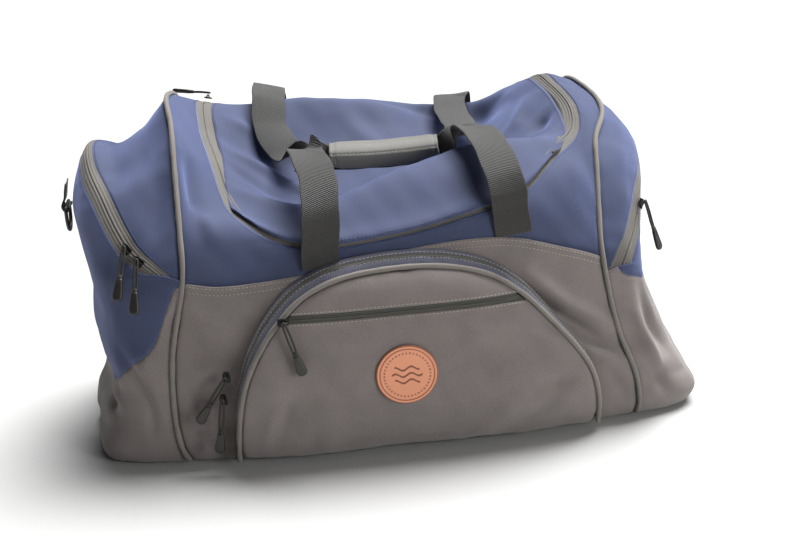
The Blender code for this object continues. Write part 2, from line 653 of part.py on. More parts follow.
def make_handles():
    front = joint_empty("front_handle_joint", (FRONT_HINGE[0] + FRONT_HINGE[1]) / 2)
    rear = joint_empty("rear_handle_joint", (0, *REAR_HINGE))
    x_axis = Vector((1, 0, 0.1))
    ribbon("front_web_left", (
        ((-91, -156, 224.5), x_axis), ((-89, -156, 242), x_axis), ((-87, -147, 268), x_axis),
        ((-86, -122, 292), x_axis), ((-92, -84, 306), (1, 0.2, 0)), ((-93, -50, 304), (0.75, 0.65, -0.1)),
        ((-84, -36, 297), (0.3, 0.5, 0.8), 0.8), ((-66, -30, 291), (0, 0.1, 1), 0.5),
    ), "black_web", front, count=22)
    ribbon("front_web_right", (
        ((104, -154, 252.5), x_axis), ((103, -154, 268), x_axis), ((99, -141, 290), x_axis),
        ((94, -112, 308), (1, 0.1, 0)), ((88, -76, 317), (1, 0.3, 0)), ((80, -46, 313), (0.7, 0.7, -0.2)),
        ((68, -34, 299), (0.3, 0.4, 0.8), 0.8), ((52, -30, 291), (0, 0.1, 1), 0.5),
    ), "black_web", front, count=22)
    ribbon("rear_web", (
        ((-117, 151.6, 283.5), (1, 0, 0)), ((-118, 150, 310), (1, 0, 0)), ((-119, 132, 339), (1, 0, 0)),
        ((-122, 95, 334), (1, 0, 0)), ((-124, 58, 309), (1, -0.1, 0)), ((-112, 20, 290), (0.9, -0.4, 0)),
        ((-90, -5, 283), (0.5, -0.7, -0.4), 0.9), ((-62, -16.5, 282.8), (0, -0.55, -0.83), 0.7),
        ((-8, -17.5, 281.6), (0, -0.55, -0.83), 0.7), ((48, -16.5, 282.8), (0, -0.55, -0.83), 0.7),
        ((76, 0, 288), (-0.5, -0.7, -0.4), 0.9), ((90, 31, 294), (-0.9, -0.4, 0)),
        ((91, 66, 296), (-1, -0.1, 0)), ((90, 100, 301), (-1, 0, 0)), ((95, 134, 310), (-1, 0, 0)),
        ((104, 149, 306), (-1, 0, 0)), ((104, 151.4, 283.8), (-1, 0, 0)),
    ), "black_web", rear, count=49)
    length = GRIP_X[1] - GRIP_X[0]
    mid = Vector(((GRIP_X[0] + GRIP_X[1]) / 2, *GRIP_YZ))
    along = placed(mid, Vector((0, 1, 0)), Vector((1, 0, 0)))
    plate("grip_core", [circle(GRIP_R, 20)], length, "black_web", along, None)
    outer = [(GRIP_SHELL_R * math.cos(math.radians(a)), GRIP_SHELL_R * math.sin(math.radians(a))) for a in range(35, 236, 10)]
    inner_r = GRIP_R + GAP
    inner = [(inner_r * math.cos(math.radians(a)), inner_r * math.sin(math.radians(a))) for a in range(235, 34, -10)]
    plate("grip_wrap", [outer + inner], length - 2, "black_web", along, None)
    for name in ("grip_core", "grip_wrap"):
        bpy.data.objects[name].parent = front
        bpy.data.objects[name].matrix_parent_inverse = Matrix.Translation(-front.location)
    sewn_strap("front_strap_left", -91 / HALF_BODY, spaced(3.05, 3.55, 3))
    sewn_strap("front_strap_right", 108 / HALF_BODY, spaced(3.05, 3.72, 4))
    sewn_strap("back_strap_left", -117 / HALF_BODY, spaced(10.08, 11.9, 8))
    sewn_strap("back_strap_right", 104 / HALF_BODY, spaced(10.08, 11.9, 8))


# --- D-rings at the ends ----------------------------------------------------------------------
def make_ring(side, name, flap_joint, x, z):
    """A D-ring that hangs from a webbing tab on an end's flap."""
    tab = [(3.8, -4.2), (7.2, -2.6), (8.2, 1.0), (7.0, 4.4), (3.4, 26), (0.6, 26), (0.6, -4.2)]
    hole = [(3.9 + 2.7 * math.cos(math.radians(-a)), 0.2 + 2.7 * math.sin(math.radians(-a))) for a in range(0, 360, 30)]
    out = Vector((side, 0, 0))
    stand = placed(Vector((x, 0, z)), out, Vector((0, -side, 0)))
    plate(f"{name}_ring_tab", [tab, hole], 26, "black_web", stand)
    hinge = joint_empty(f"{name}_ring_joint", (x + side * 3.9, 0, z + 0.2))
    for piece in (bpy.data.objects[f"{name}_ring_tab"], hinge):
        piece.parent = flap_joint
        piece.matrix_parent_inverse = Matrix.Translation(-flap_joint.location)
    points = []
    for turn in range(0, 181, 20):
        a = math.radians(turn)
        points.append(Vector((x + side * 3.9, 17.5 * math.cos(a), z + 0.2 - 10 - 17.5 * math.sin(a))))
    points += [Vector((x + side * 3.9, y, z + 0.2)) for y in (-17.5, -9, 0, 9, 17.5)]
    tube(f"{name}_d_ring", points, 1.9, "black_plastic", hinge, closed=True)


def make_sliders(lid, pocket, ends):
    """Every zip's slider: where it is parked, which way it travels and where its pull hangs."""
    down = Vector((0, 0, -1))
    a = lid_edge(0.09)
    b = lid_edge(0.11)
    travel = (body_skin(*b) - body_skin(*a)).normalized()
    normal = normal_of(body_skin, *a)
    make_slider("lid", body_skin(*a), travel, normal, (Vector((-1, 0.55, 0))), 46, lid, lift=4.2)
    zip_y = face_point(-0.8, POCKET_ZIP_Z).y
    start = Vector((POCKET_ZIP_X[0] + 8, min(zip_y, POCKET_FACE_Y) - 0.6, POCKET_ZIP_Z))
    make_slider("pocket", start, Vector((1, 0, 0)), Vector((0, -1, 0)), Vector((0.28, 0, -1)), 58, pocket)
    for name, at, hang in (
        ("gusset_upper", Vector((-194.5, -171, 106)), Vector((-0.68, 0, -1))),
        ("gusset_lower", Vector((-199.5, -171, 82)), Vector((-0.14, 0, -1))),
    ):
        make_slider(name, at, Vector((0, 0, 1)), Vector((-0.25, -1, 0)).normalized(), hang, 58)
    for side, end, row_gap in ((-1, "left", (3.62, 3.98)), (1, "right", (4.55, None))):
        for label, row in zip(("a", "b"), row_gap):
            if row is None:
                continue
            skin = lambda out, r, side=side: end_skin(side, out, r)
            out = end_zip_out(side, row)
            at = skin(out, row)
            travel = (skin(end_zip_out(side, row + 0.3), row + 0.3) - at).normalized()
            normal = normal_of(skin, out, row)
            label = f"{end}_{label}" if row_gap[1] else end
            make_slider(label, at, travel, normal, down, 54, ends[side], lift=2.4)


make_body()
make_base()
make_bulkheads()
make_pipings()
lid_joint = make_lid()
end_joints = {-1: make_end(-1, "left"), 1: make_end(1, "right")}
pocket_joint = make_pocket()
make_handles()
make_ring(-1, "left", end_joints[-1], -346.5, 252)
make_ring(1, "right", end_joints[1], 278.0, 214)
make_sliders(lid_joint, pocket_joint, end_joints)
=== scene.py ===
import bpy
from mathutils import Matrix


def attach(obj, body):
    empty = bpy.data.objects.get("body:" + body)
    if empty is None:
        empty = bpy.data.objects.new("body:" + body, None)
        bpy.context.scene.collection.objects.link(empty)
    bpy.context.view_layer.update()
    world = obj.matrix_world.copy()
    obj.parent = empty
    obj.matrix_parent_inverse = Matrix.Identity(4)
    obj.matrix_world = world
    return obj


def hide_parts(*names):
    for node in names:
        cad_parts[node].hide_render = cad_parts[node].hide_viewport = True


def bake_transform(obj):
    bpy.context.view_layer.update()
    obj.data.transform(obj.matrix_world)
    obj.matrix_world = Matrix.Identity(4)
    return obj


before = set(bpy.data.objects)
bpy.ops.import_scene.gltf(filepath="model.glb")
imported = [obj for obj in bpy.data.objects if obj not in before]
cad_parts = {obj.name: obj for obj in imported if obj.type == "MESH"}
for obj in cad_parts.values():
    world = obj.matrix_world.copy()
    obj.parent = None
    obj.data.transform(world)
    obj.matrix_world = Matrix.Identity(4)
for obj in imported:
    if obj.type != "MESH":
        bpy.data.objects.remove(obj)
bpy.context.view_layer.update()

# %% [markdown]
# # A soft travel duffel bag
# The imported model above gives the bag's bodies, joints and plain solids. This lesson lays real cloth, zips,
# webbing and piping over it. Every position is in metres in the model's own frame: X along the bag, -Y the
# front, +Z up. A bag like this is sewn from flat panels of coated polyester, so each panel here is a
# fine grid of points on one shared skin, given thickness by a Solidify modifier.

# %% Imports and sizes
import math

import bmesh
import bpy
import numpy as np
from mathutils import Matrix, Vector

MM = 0.001
rng = np.random.default_rng(7)
CLOTH_THICK = 1.4 * MM
PIPING_R = 2.7 * MM
TAPE_HALF = 11.5  # mm from a zip's middle to the edge of its tape
WEB_WIDTH = 38 * MM
WEB_THICK = 1.7 * MM

# %% [markdown]
# ## The camera and the light
# The bag is seen from slightly left of its front and from above, with a lens a little longer than normal.
# A wide soft light stands high above it, a little behind and to the right. A square one at the front right
# lights the pocket and leaves the left end darker, as in a room with one window.

# %% Camera
EYE_TURN, EYE_DOWN, EYE_TILT = math.radians(7), math.radians(19), math.radians(-3)
EYE_FAR = 1.5
LOOK_AT = Vector((0.008, 0, 0.146))
LENS, SENSOR = 59.3, 36.0

level = Vector((math.sin(EYE_TURN), math.cos(EYE_TURN), 0))
ahead = level * math.cos(EYE_DOWN) - Vector((0, 0, math.sin(EYE_DOWN)))
level = Vector((math.cos(EYE_TURN), -math.sin(EYE_TURN), 0))
upright = level.cross(ahead)
right = level * math.cos(EYE_TILT) + upright * math.sin(EYE_TILT)
top = upright * math.cos(EYE_TILT) - level * math.sin(EYE_TILT)
camera = bpy.data.objects.new("camera", bpy.data.cameras.new("camera"))
camera.data.lens, camera.data.sensor_width = LENS, SENSOR
facing = Matrix((right, top, -ahead)).transposed().to_4x4()
camera.matrix_world = Matrix.Translation(LOOK_AT - ahead * EYE_FAR) @ facing
bpy.context.scene.collection.objects.link(camera)
bpy.context.scene.camera = camera
print("camera at", [round(c, 3) for c in camera.location])

# %% Lights and world
def area_light(name, at, aim, size, watts):
    """A square soft light at a place, aimed at another."""
    lamp = bpy.data.objects.new(name, bpy.data.lights.new(name, "AREA"))
    lamp.data.size, lamp.data.energy = size, watts
    lamp.location = at
    lamp.rotation_euler = (Vector(aim) - Vector(at)).to_track_quat("-Z", "Y").to_euler()
    bpy.context.scene.collection.objects.link(lamp)


sky = bpy.data.objects.new("skylight", bpy.data.lights.new("skylight", "SUN"))
sky.data.energy, sky.data.angle = 7.7, math.radians(40)
sky.rotation_euler = Vector((0.32, 0.36, 1)).to_track_quat("Z", "Y").to_euler()
bpy.context.scene.collection.objects.link(sky)
area_light("room", (1.6, -2.1, 0.85), (0, 0, 0.12), 1.0, 35)
world = bpy.data.worlds.new("studio")
world.use_nodes = True
world.node_tree.nodes["Background"].inputs["Color"].default_value = (1, 1, 1, 1)
world.node_tree.nodes["Background"].inputs["Strength"].default_value = 0.06
bpy.context.scene.world = world
bpy.context.scene.view_settings.view_transform = "Standard"

# %% [markdown]
# ## Colour and node helpers
# Colours are written as sRGB hex, as a dyer's chart gives them, and one function turns them to linear.
# One function adds any shader node, sets its values and joins its links.

# %% Colour and node helpers
def linear(hex_code):
    """sRGB hex to linear RGBA."""
    channels = [int(hex_code[i : i + 2], 16) / 255 for i in (1, 3, 5)]
    return (*[c / 12.92 if c <= 0.04045 else ((c + 0.055) / 1.055) ** 2.4 for c in channels], 1)


def add(tree, kind, links=None, values=None, **settings):
    """A shader node, with its settings, its sockets' values and the nodes that feed its sockets."""
    made = tree.nodes.new(kind)
    for key, value in settings.items():
        setattr(made, key, value)
    for key, value in (values or {}).items():
        made.inputs[key].default_value = value
    for key, source in (links or {}).items():
        tree.links.new(source, made.inputs[key])
    return made


def blank(name, colour, roughness, metallic=0.0, **sockets):
    """A material with only its Principled shader, and that shader."""
    made = bpy.data.materials.new(name)
    made.use_nodes = True
    shader = made.node_tree.nodes["Principled BSDF"]
    shader.inputs["Base Color"].default_value = linear(colour)
    shader.inputs["Roughness"].default_value = roughness
    shader.inputs["Metallic"].default_value = metallic
    for key, value in sockets.items():
        shader.inputs[key.replace("_", " ")].default_value = value
    return made, made.node_tree, shader


# %% [markdown]
# ## Woven finishes
# Coated polyester for bags is a plain weave of thick yarn, about 0.5 mm apart, with a dull sheen. The weave
# follows the panel's own grain, so it is drawn over UVs that hold real millimetres. Threads are drawn 1.1 mm
# apart, coarser than life, so that they still show. Broader mottling comes from uneven dye and handling.

# %% Woven cloth
def woven(name, warp, weft, thread_mm=1.1, roughness=0.78, sheen=0.25, relief=0.35, mottle=0.18):
    """Plain-woven polyester: warp and weft shades, thread spacing in millimetres, and a soft mottling."""
    made, tree, shader = blank(name, warp, roughness, Sheen_Weight=sheen, Sheen_Roughness=0.5)
    uv = add(tree, "ShaderNodeUVMap", uv_map="grain")
    turns = add(
        tree, "ShaderNodeVectorMath", {0: uv.outputs["UV"]}, {1: (math.pi / thread_mm,) * 3},
        operation="MULTIPLY",
    )
    parts = add(tree, "ShaderNodeSeparateXYZ", {0: turns.outputs[0]})
    across = add(tree, "ShaderNodeMath", {0: parts.outputs["X"]}, operation="SINE")
    along = add(tree, "ShaderNodeMath", {0: parts.outputs["Y"]}, operation="SINE")
    crossing = add(tree, "ShaderNodeMath", {0: across.outputs[0], 1: along.outputs[0]}, operation="MULTIPLY")
    height = add(tree, "ShaderNodeMath", {0: crossing.outputs[0]}, operation="ABSOLUTE")
    over = add(
        tree, "ShaderNodeMath", {0: crossing.outputs[0]}, {1: 2.0, 2: 0.5}, operation="MULTIPLY_ADD",
        use_clamp=True,
    )
    place = add(tree, "ShaderNodeTexCoord")
    cloud = add(
        tree, "ShaderNodeTexNoise", {"Vector": place.outputs["Object"]},
        {"Scale": 26.0, "Detail": 5.0, "Roughness": 0.6},
    )
    yarn = add(tree, "ShaderNodeTexNoise", {"Vector": uv.outputs["UV"]}, {"Scale": 0.55, "Detail": 3.0})
    threads = add(tree, "ShaderNodeMix", {"Factor": over.outputs[0]}, data_type="RGBA")
    threads.inputs["A"].default_value, threads.inputs["B"].default_value = linear(warp), linear(weft)
    uneven = add(tree, "ShaderNodeMath", {0: cloud.outputs["Fac"], 1: yarn.outputs["Fac"]}, operation="ADD")
    shade = add(
        tree, "ShaderNodeMapRange", {"Value": uneven.outputs[0]},
        {"From Min": 0.7, "From Max": 1.3, "To Min": 1 - mottle, "To Max": 1 + mottle},
    )
    tint = add(
        tree, "ShaderNodeVectorMath", {0: threads.outputs["Result"], 1: shade.outputs[0]},
        operation="MULTIPLY",
    )
    tree.links.new(tint.outputs[0], shader.inputs["Base Color"])
    rough = add(
        tree, "ShaderNodeMapRange", {"Value": cloud.outputs["Fac"]},
        {"To Min": roughness - 0.07, "To Max": roughness + 0.07},
    )
    tree.links.new(rough.outputs[0], shader.inputs["Roughness"])
    bump = add(
        tree, "ShaderNodeBump", {"Height": height.outputs[0]}, {"Strength": relief, "Distance": 0.0005},
    )
    tree.links.new(bump.outputs[0], shader.inputs["Normal"])
    return made


BLUE = woven("polyester_plain_weave_blue", "#28304b", "#303957", sheen=0.75)
BLUE.node_tree.nodes["Principled BSDF"].inputs["Sheen Tint"].default_value = linear("#aab8f0")
GREY = woven("polyester_plain_weave_grey", "#6a6260", "#756d6a", sheen=0.3)
NAVY = woven("polyester_melange_navy", "#35374a", "#525362", thread_mm=1.4, relief=0.5, mottle=0.35)
LINING = woven("nylon_taffeta_lining", "#3a3a3c", "#444446", thread_mm=0.9, relief=0.2)
TAPE = woven("zip_tape_warp_knit", "#57534e", "#635f59", thread_mm=0.9, roughness=0.7, relief=0.4)
PIPE = woven("piping_bias_cloth_grey", "#68625c", "#76706a", thread_mm=0.9, roughness=0.7)
DARK_TAPE = woven("zip_tape_dark", "#35352f", "#3f3f39", thread_mm=0.9, roughness=0.6)
GRIP_CLOTH = woven("grip_nylon_black", "#5c5b57", "#686762", thread_mm=1.2, roughness=0.6, relief=0.5)
print("woven finishes:", [m.name for m in bpy.data.materials if "weave" in m.name or "tape" in m.name])

# %% [markdown]
# Heavy webbing is woven in a fine diagonal twill with ribs across its width. Thread is waxed polyester.
# Slider bodies are painted zinc, pull tips are moulded PVC with a satin skin, and the patch is
# vegetable-tanned leather, which is faintly grained and a little darker at its pressed edge.

# %% Webbing twill
def webbing_finish(name, dark, light, rib_mm=2.2):
    """Twill webbing: diagonal ridges over UVs in millimetres, coloured darker in the grooves as painted
    shade.
    """
    made, tree, shader = blank(name, dark, 0.62, Sheen_Weight=0.2, Sheen_Roughness=0.4)
    uv = add(tree, "ShaderNodeUVMap", uv_map="grain")
    parts = add(tree, "ShaderNodeSeparateXYZ", {0: uv.outputs["UV"]})
    lean = add(
        tree, "ShaderNodeMath", {0: parts.outputs["X"], 2: parts.outputs["Y"]}, {1: 0.55},
        operation="MULTIPLY_ADD",
    )
    turn = add(tree, "ShaderNodeMath", {0: lean.outputs[0]}, {1: 2 * math.pi / rib_mm}, operation="MULTIPLY")
    ridge = add(tree, "ShaderNodeMath", {0: turn.outputs[0]}, operation="SINE")
    yarn_turn = add(
        tree, "ShaderNodeMath", {0: parts.outputs["X"]}, {1: 2 * math.pi / 1.3}, operation="MULTIPLY",
    )
    yarn = add(tree, "ShaderNodeMath", {0: yarn_turn.outputs[0]}, operation="SINE")
    both = add(
        tree, "ShaderNodeMath", {0: yarn.outputs[0], 2: ridge.outputs[0]}, {1: 0.45},
        operation="MULTIPLY_ADD",
    )
    lift = add(tree, "ShaderNodeMapRange", {"Value": both.outputs[0]}, {"From Min": -1.4, "From Max": 1.4})
    fuzz = add(tree, "ShaderNodeTexNoise", {"Vector": uv.outputs["UV"]}, {"Scale": 0.35, "Detail": 4.0})
    # colour follows the ridge height: painted shade darkens the grooves and a painted highlight lightens the
    # ridge tops
    shade = add(tree, "ShaderNodeMix", {"Factor": lift.outputs[0]}, data_type="RGBA")
    shade.inputs["A"].default_value, shade.inputs["B"].default_value = linear(dark), linear(light)
    worn = add(tree, "ShaderNodeMapRange", {"Value": fuzz.outputs["Fac"]}, {"To Min": 0.8, "To Max": 1.2})
    tint = add(
        tree, "ShaderNodeVectorMath", {0: shade.outputs["Result"], 1: worn.outputs[0]},
        operation="MULTIPLY",
    )
    tree.links.new(tint.outputs[0], shader.inputs["Base Color"])
    bump = add(tree, "ShaderNodeBump", {"Height": lift.outputs[0]}, {"Strength": 0.7, "Distance": 0.0008})
    tree.links.new(bump.outputs[0], shader.inputs["Normal"])
    return made


WEBBING = webbing_finish("polypropylene_twill_webbing", "#191817", "#2e2c2a")

# %% Leather, thread, moulded and painted finishes
def speckled(name, colour, roughness, scale, relief, metallic=0.0, spread=0.12, distance=0.0004, **sockets):
    """A solid finish whose shade and roughness vary a little, with a fine relief."""
    made, tree, shader = blank(name, colour, roughness, metallic, **sockets)
    place = add(tree, "ShaderNodeTexCoord")
    grain = add(
        tree, "ShaderNodeTexNoise", {"Vector": place.outputs["Object"]},
        {"Scale": scale, "Detail": 6.0, "Roughness": 0.6},
    )
    shade = add(
        tree, "ShaderNodeMapRange", {"Value": grain.outputs["Fac"]},
        {"To Min": 1 - spread, "To Max": 1 + spread},
    )
    tint = add(
        tree, "ShaderNodeVectorMath", {0: shade.outputs[0]}, {1: linear(colour)[:3]},
        operation="MULTIPLY",
    )
    tree.links.new(tint.outputs[0], shader.inputs["Base Color"])
    rough = add(
        tree, "ShaderNodeMapRange", {"Value": grain.outputs["Fac"]},
        {"To Min": roughness - 0.08, "To Max": roughness + 0.08},
    )
    tree.links.new(rough.outputs[0], shader.inputs["Roughness"])
    bump = add(
        tree, "ShaderNodeBump", {"Height": grain.outputs["Fac"]},
        {"Strength": relief, "Distance": distance},
    )
    tree.links.new(bump.outputs[0], shader.inputs["Normal"])
    return made


LEATHER = speckled("vegetable_tanned_leather_tan", "#d6906e", 0.55, 900, 0.35, spread=0.1)
PVC = speckled("moulded_pvc_black", "#23221f", 0.42, 1500, 0.12)
CORD = speckled("braided_cord_black", "#24231f", 0.65, 1800, 0.6, distance=0.0006)
ZINC = speckled("painted_zinc_black", "#1d1c1b", 0.35, 600, 0.08, metallic=0.6)
THREADS = {
    "blue": speckled("waxed_thread_blue", "#39436a", 0.6, 2500, 0.4),
    "grey": speckled("waxed_thread_grey", "#a8a298", 0.6, 2500, 0.4),
}
COIL = speckled("nylon_coil_dark", "#3a3833", 0.45, 1200, 0.2)
print("finishes:", len(bpy.data.materials))

# %% [markdown]
# ## The skin
# The outer shape is held by thirteen rows of points across the bag, from the front hem, up the front, over
# the sagging top and down the back. A smooth curve runs through each row, and another through the rows.

# %% Rows of the body's skin, in millimetres
STATIONS = (-1.0, -0.8, -0.4, 0.0, 0.4, 0.8, 1.0)
ROWS = np.array((
    (
        (-245, -150, 3.2), (-190, -156, 3.2), (-95, -160, 3.2), (0, -160, 3.2), (95, -160, 3.2),
        (190, -156, 3.2), (245, -150, 3.2),
    ),
    (
        (-251, -152, 55), (-193, -160, 55), (-96, -164, 55), (0, -165, 55), (95, -164, 55),
        (186, -160, 55), (237, -155, 55),
    ),
    (
        (-247, -151, 125), (-192, -157, 125), (-96, -160, 125), (0, -161, 125), (92, -160, 125),
        (178, -156, 120), (217, -150, 112),
    ),
    (
        (-230, -146, 200), (-189, -150, 194), (-96, -152, 201), (-5, -153, 217), (92, -152, 221),
        (168, -147, 200), (204, -142, 186),
    ),
    (
        (-228, -128, 244), (-188, -124, 244), (-96, -144, 231), (0, -146, 238), (96, -137, 257),
        (176, -116, 260), (206, -120, 227),
    ),
    (
        (-229, -80, 305), (-189, -80, 264), (-96, -96, 254), (0, -84, 282), (96, -64, 299),
        (192, -72, 288), (213, -88, 270),
    ),
    (
        (-230, -40, 338), (-190, -20, 292), (-96, -45, 240), (0, -35, 250), (96, -20, 266),
        (204, -40, 305), (220, -60, 293),
    ),
    (
        (-234, 5, 358), (-196, 30, 313), (-96, 25, 258), (0, 30, 264), (96, 35, 272), (206, 0, 320),
        (240, -15, 312),
    ),
    (
        (-228, 60, 352), (-196, 85, 334), (-96, 88, 302), (0, 88, 290), (96, 88, 277), (198, 50, 332),
        (240, 35, 324),
    ),
    (
        (-224, 112, 328), (-184, 124, 319), (-96, 124, 325), (0, 124, 313), (96, 124, 286),
        (190, 98, 334), (226, 92, 329),
    ),
    (
        (-228, 140, 280), (-185, 148, 290), (-96, 148, 290), (0, 148, 290), (96, 148, 290),
        (180, 146, 290), (228, 136, 284),
    ),
    (
        (-246, 152, 130), (-190, 160, 140), (-96, 164, 140), (0, 165, 140), (96, 164, 140),
        (190, 160, 140), (243, 150, 130),
    ),
    (
        (-245, 150, 3.2), (-190, 156, 3.2), (-95, 160, 3.2), (0, 160, 3.2), (95, 160, 3.2),
        (190, 156, 3.2), (245, 150, 3.2),
    ),
), float)
LAST_ROW = len(ROWS) - 1
HEM_Z = 3.2
END_X = {-1: (-348, -330, -343, -330, -348), 1: (316, 296, 292, 296, 316)}
END_DROP = {-1: 0.985, 1: 0.93}
OVAL = np.array(((0, 1), (0.38, 0.92), (0.71, 0.71), (0.92, 0.38), (1, 0)), float)
PINCH_Z = (0, 22, 46, 72, 96, 120, 142, 166, 190, 214, 238, 262, 288, 315)
PINCH = {
    -1: (0, 1, 5, 15, 12, 8, 8, 8, 5, 0, -3, -4, -2, 0),
    1: (-8, -16, -9, 3, 11, 18, 26, 30, 27, 21, 14, 5, -2, -3),
}
SAG_OUT = (0.0, 0.06, 0.15, 0.3, 0.45, 0.7, 1.0)
SAG = {-1: (0, 13, 28, 31, 7, 0, 0), 1: (0, 3, 5, 4, 2, 0, 0)}
DIP = (0.54, 8.8, 20.0)  # a hollow in the lid's rear crest: its share across, its row and its depth
BOXY = np.array(((0, 1), (0.46, 0.985), (0.88, 0.87), (0.985, 0.48), (1, 0)), float)


def spread(low, high, count):
    return np.linspace(low, high, count)


def shares(stations, at):
    """How much each station's value counts at each place on a smooth curve through them."""
    stations, at = np.asarray(stations, float), np.clip(np.ravel(at), stations[0], stations[-1])
    i = np.clip(np.searchsorted(stations, at, side="right") - 1, 0, len(stations) - 2)
    step, last, k = stations[i + 1] - stations[i], len(stations) - 1, np.arange(len(at))
    t = (at - stations[i]) / step
    made = np.zeros((len(at), len(stations)))
    made[k, i] += 1 - 3 * t**2 + 2 * t**3
    made[k, i + 1] += 3 * t**2 - 2 * t**3
    for j, bend in ((i, step * (t - 2 * t**2 + t**3)), (i + 1, step * (t**3 - t**2))):
        low, high = np.maximum(j - 1, 0), np.minimum(j + 1, last)
        slope = bend / (stations[high] - stations[low])
        np.add.at(made, (k, high), slope)
        np.add.at(made, (k, low), -slope)
    return made


def smooth(stations, values, at):
    """Values of a smooth curve through the stations, at many places."""
    return shares(stations, at) @ np.asarray(values, float)


def body_skin(across, row):
    """Points of the main body in mm: across from -1 to 1, row from 0 to 12, as arrays of one shape."""
    across, row = np.broadcast_arrays(np.asarray(across, float), np.asarray(row, float))
    columns = np.tensordot(shares(STATIONS, across), ROWS, axes=(1, 1))
    found = np.einsum("nr,nrk->nk", shares(np.arange(LAST_ROW + 1.0), row), columns)
    near_dip = np.exp(-(((across.ravel() - DIP[0]) / 0.09) ** 2) - ((row.ravel() - DIP[1]) / 0.7) ** 2)
    found[:, 2] -= DIP[2] * near_dip
    return found.reshape(*across.shape, 3)


def end_skin(side, out, row):
    """Points of an end pocket in mm: out from 0 at its piping to 1 at the foot of its end face."""
    out, row = np.broadcast_arrays(np.asarray(out, float), np.asarray(row, float))
    ring = body_skin(side, row).reshape(-1, 3)
    o, r = out.ravel(), row.ravel()
    boxy = np.sin(np.pi * np.clip(r / LAST_ROW, 0, 1)) ** 0.7
    boxy = np.maximum(boxy, 0.7 * np.exp(-((np.minimum(r, LAST_ROW - r) / 1.2) ** 2)))[:, None]
    steps = (0.0, 0.25, 0.5, 0.75, 1.0)
    reach, share = (smooth(steps, OVAL, o) * (1 - boxy) + smooth(steps, BOXY, o) * boxy).T
    far = smooth((0, 3, 7, 10, 12), END_X[side], r)
    far = far + (END_X[side][0] - far) * o**4
    drop = 1 - (1 - END_DROP[side]) * np.minimum(1, 2 * o)
    height = HEM_Z + (ring[:, 2] - HEM_Z) * share * drop
    found = np.stack((ring[:, 0] + (far - ring[:, 0]) * reach, ring[:, 1] * share, height), 1)
    crown = smooth((0, 4, 6, 9, 11, 12), (0, 0, 1, 1, 0.1, 0), r)
    found[:, 2] -= smooth(SAG_OUT, SAG[side], o) * crown
    pinch = smooth(PINCH_Z, PINCH[side], np.clip(found[:, 2], 0, PINCH_Z[-1]))
    found[:, 0] -= side * pinch * np.minimum(1, 2 * o) ** 2
    return found.reshape(*out.shape, 3)


print("ridge of the lid at", np.round(body_skin(0.2, 5.0)))

# %% [markdown]
# ## Creases
# Packed cloth never lies smooth. Long soft creases start at seams and corners. Each is listed as a path over
# the bag in millimetres, with its width and its height: a positive one stands out, a negative one sinks in.
# Under them runs a slow unevenness, and close to each seam the cloth puckers between stitches.

# %% Creases of the cloth
CREASES = [
    # left end pocket: hollows beside the zip and below its crown
    (((-318, -60, 318), (-290, -80, 316), (-262, -60, 330)), 9, 5),
    (((-305, -110, 290), (-280, -112, 288), (-258, -100, 296)), 10, -7),
    (((-316, -92, 300), (-292, -100, 296)), 7, 4),
    (((-298, -126, 262), (-276, -130, 262), (-256, -120, 276)), 8, 4),
    (((-262, -140, 235), (-248, -120, 262), (-240, -90, 292)), 9, -5),
    # left yoke
    (((-205, -120, 250), (-212, -90, 275), (-218, -60, 300)), 10, -5),
    (((-196, -125, 240), (-208, -105, 262)), 8, 4),
    # lower left end: a deep pleat from the piping's foot
    (((-296, -128, 128), (-280, -138, 100), (-272, -142, 66), (-276, -140, 40)), 7, -9),
    (((-284, -136, 128), (-266, -146, 96), (-262, -146, 62)), 9, 7),
    (((-322, -90, 62), (-300, -118, 48), (-284, -132, 40)), 7, -7),
    (((-318, -98, 84), (-298, -122, 66), (-280, -136, 54)), 8, 4),
    # front panel, left of the pocket
    (((-236, -150, 186), (-214, -154, 160), (-196, -157, 152)), 12, 4),
    (((-240, -150, 160), (-220, -155, 130), (-205, -158, 120)), 10, -4),
    (((-243, -150, 120), (-224, -156, 104), (-206, -158, 108)), 9, 4),
    (((-246, -150, 84), (-232, -156, 66), (-216, -160, 40)), 11, 5),
    (((-228, -156, 30), (-214, -160, 20)), 8, -6),
    # front panel, right of the pocket: long folds that run to the piping
    (((122, -152, 178), (162, -156, 142), (205, -152, 116), (222, -150, 106)), 10, 6),
    (((112, -154, 164), (152, -158, 132), (196, -154, 98), (226, -152, 84)), 8, -7),
    (((150, -158, 118), (190, -158, 88), (222, -154, 72)), 9, 4),
    (((208, -156, 60), (222, -156, 40), (232, -154, 24)), 8, -5),
    # right end pocket
    (((250, -140, 148), (262, -140, 110), (280, -128, 70)), 11, -6),
    (((240, -148, 120), (250, -148, 92), (262, -146, 60)), 8, 6),
    (((252, -150, 66), (262, -150, 48), (272, -146, 30)), 7, -5),
    (((232, -130, 226), (240, -118, 236), (250, -100, 246)), 9, 4),
    # lid: the hollow under the hood and the dent near it
    (((150, -20, 300), (168, -10, 304), (182, 0, 308)), 9, -8),
    (((120, 0, 286), (146, 20, 300), (168, 50, 318)), 9, 4),
    (((186, -30, 302), (176, -36, 300), (160, -40, 296)), 8, 4),
    # lid: folds that fan out from the left handle
    (((-178, 20, 296), (-140, 14, 268), (-96, -6, 246)), 9, 4),
    (((-182, -10, 286), (-144, -24, 258), (-108, -38, 244)), 10, -4),
    (((-176, -50, 268), (-140, -70, 252), (-110, -90, 252)), 11, 4),
    (((-170, 70, 316), (-130, 66, 290), (-90, 40, 268)), 9, 3),
    (((-40, 100, 304), (-10, 60, 280), (20, 30, 266)), 14, 3),
]
CREASE_DEPTH = 1.5  # the folds of the body are this much deeper than the heights listed


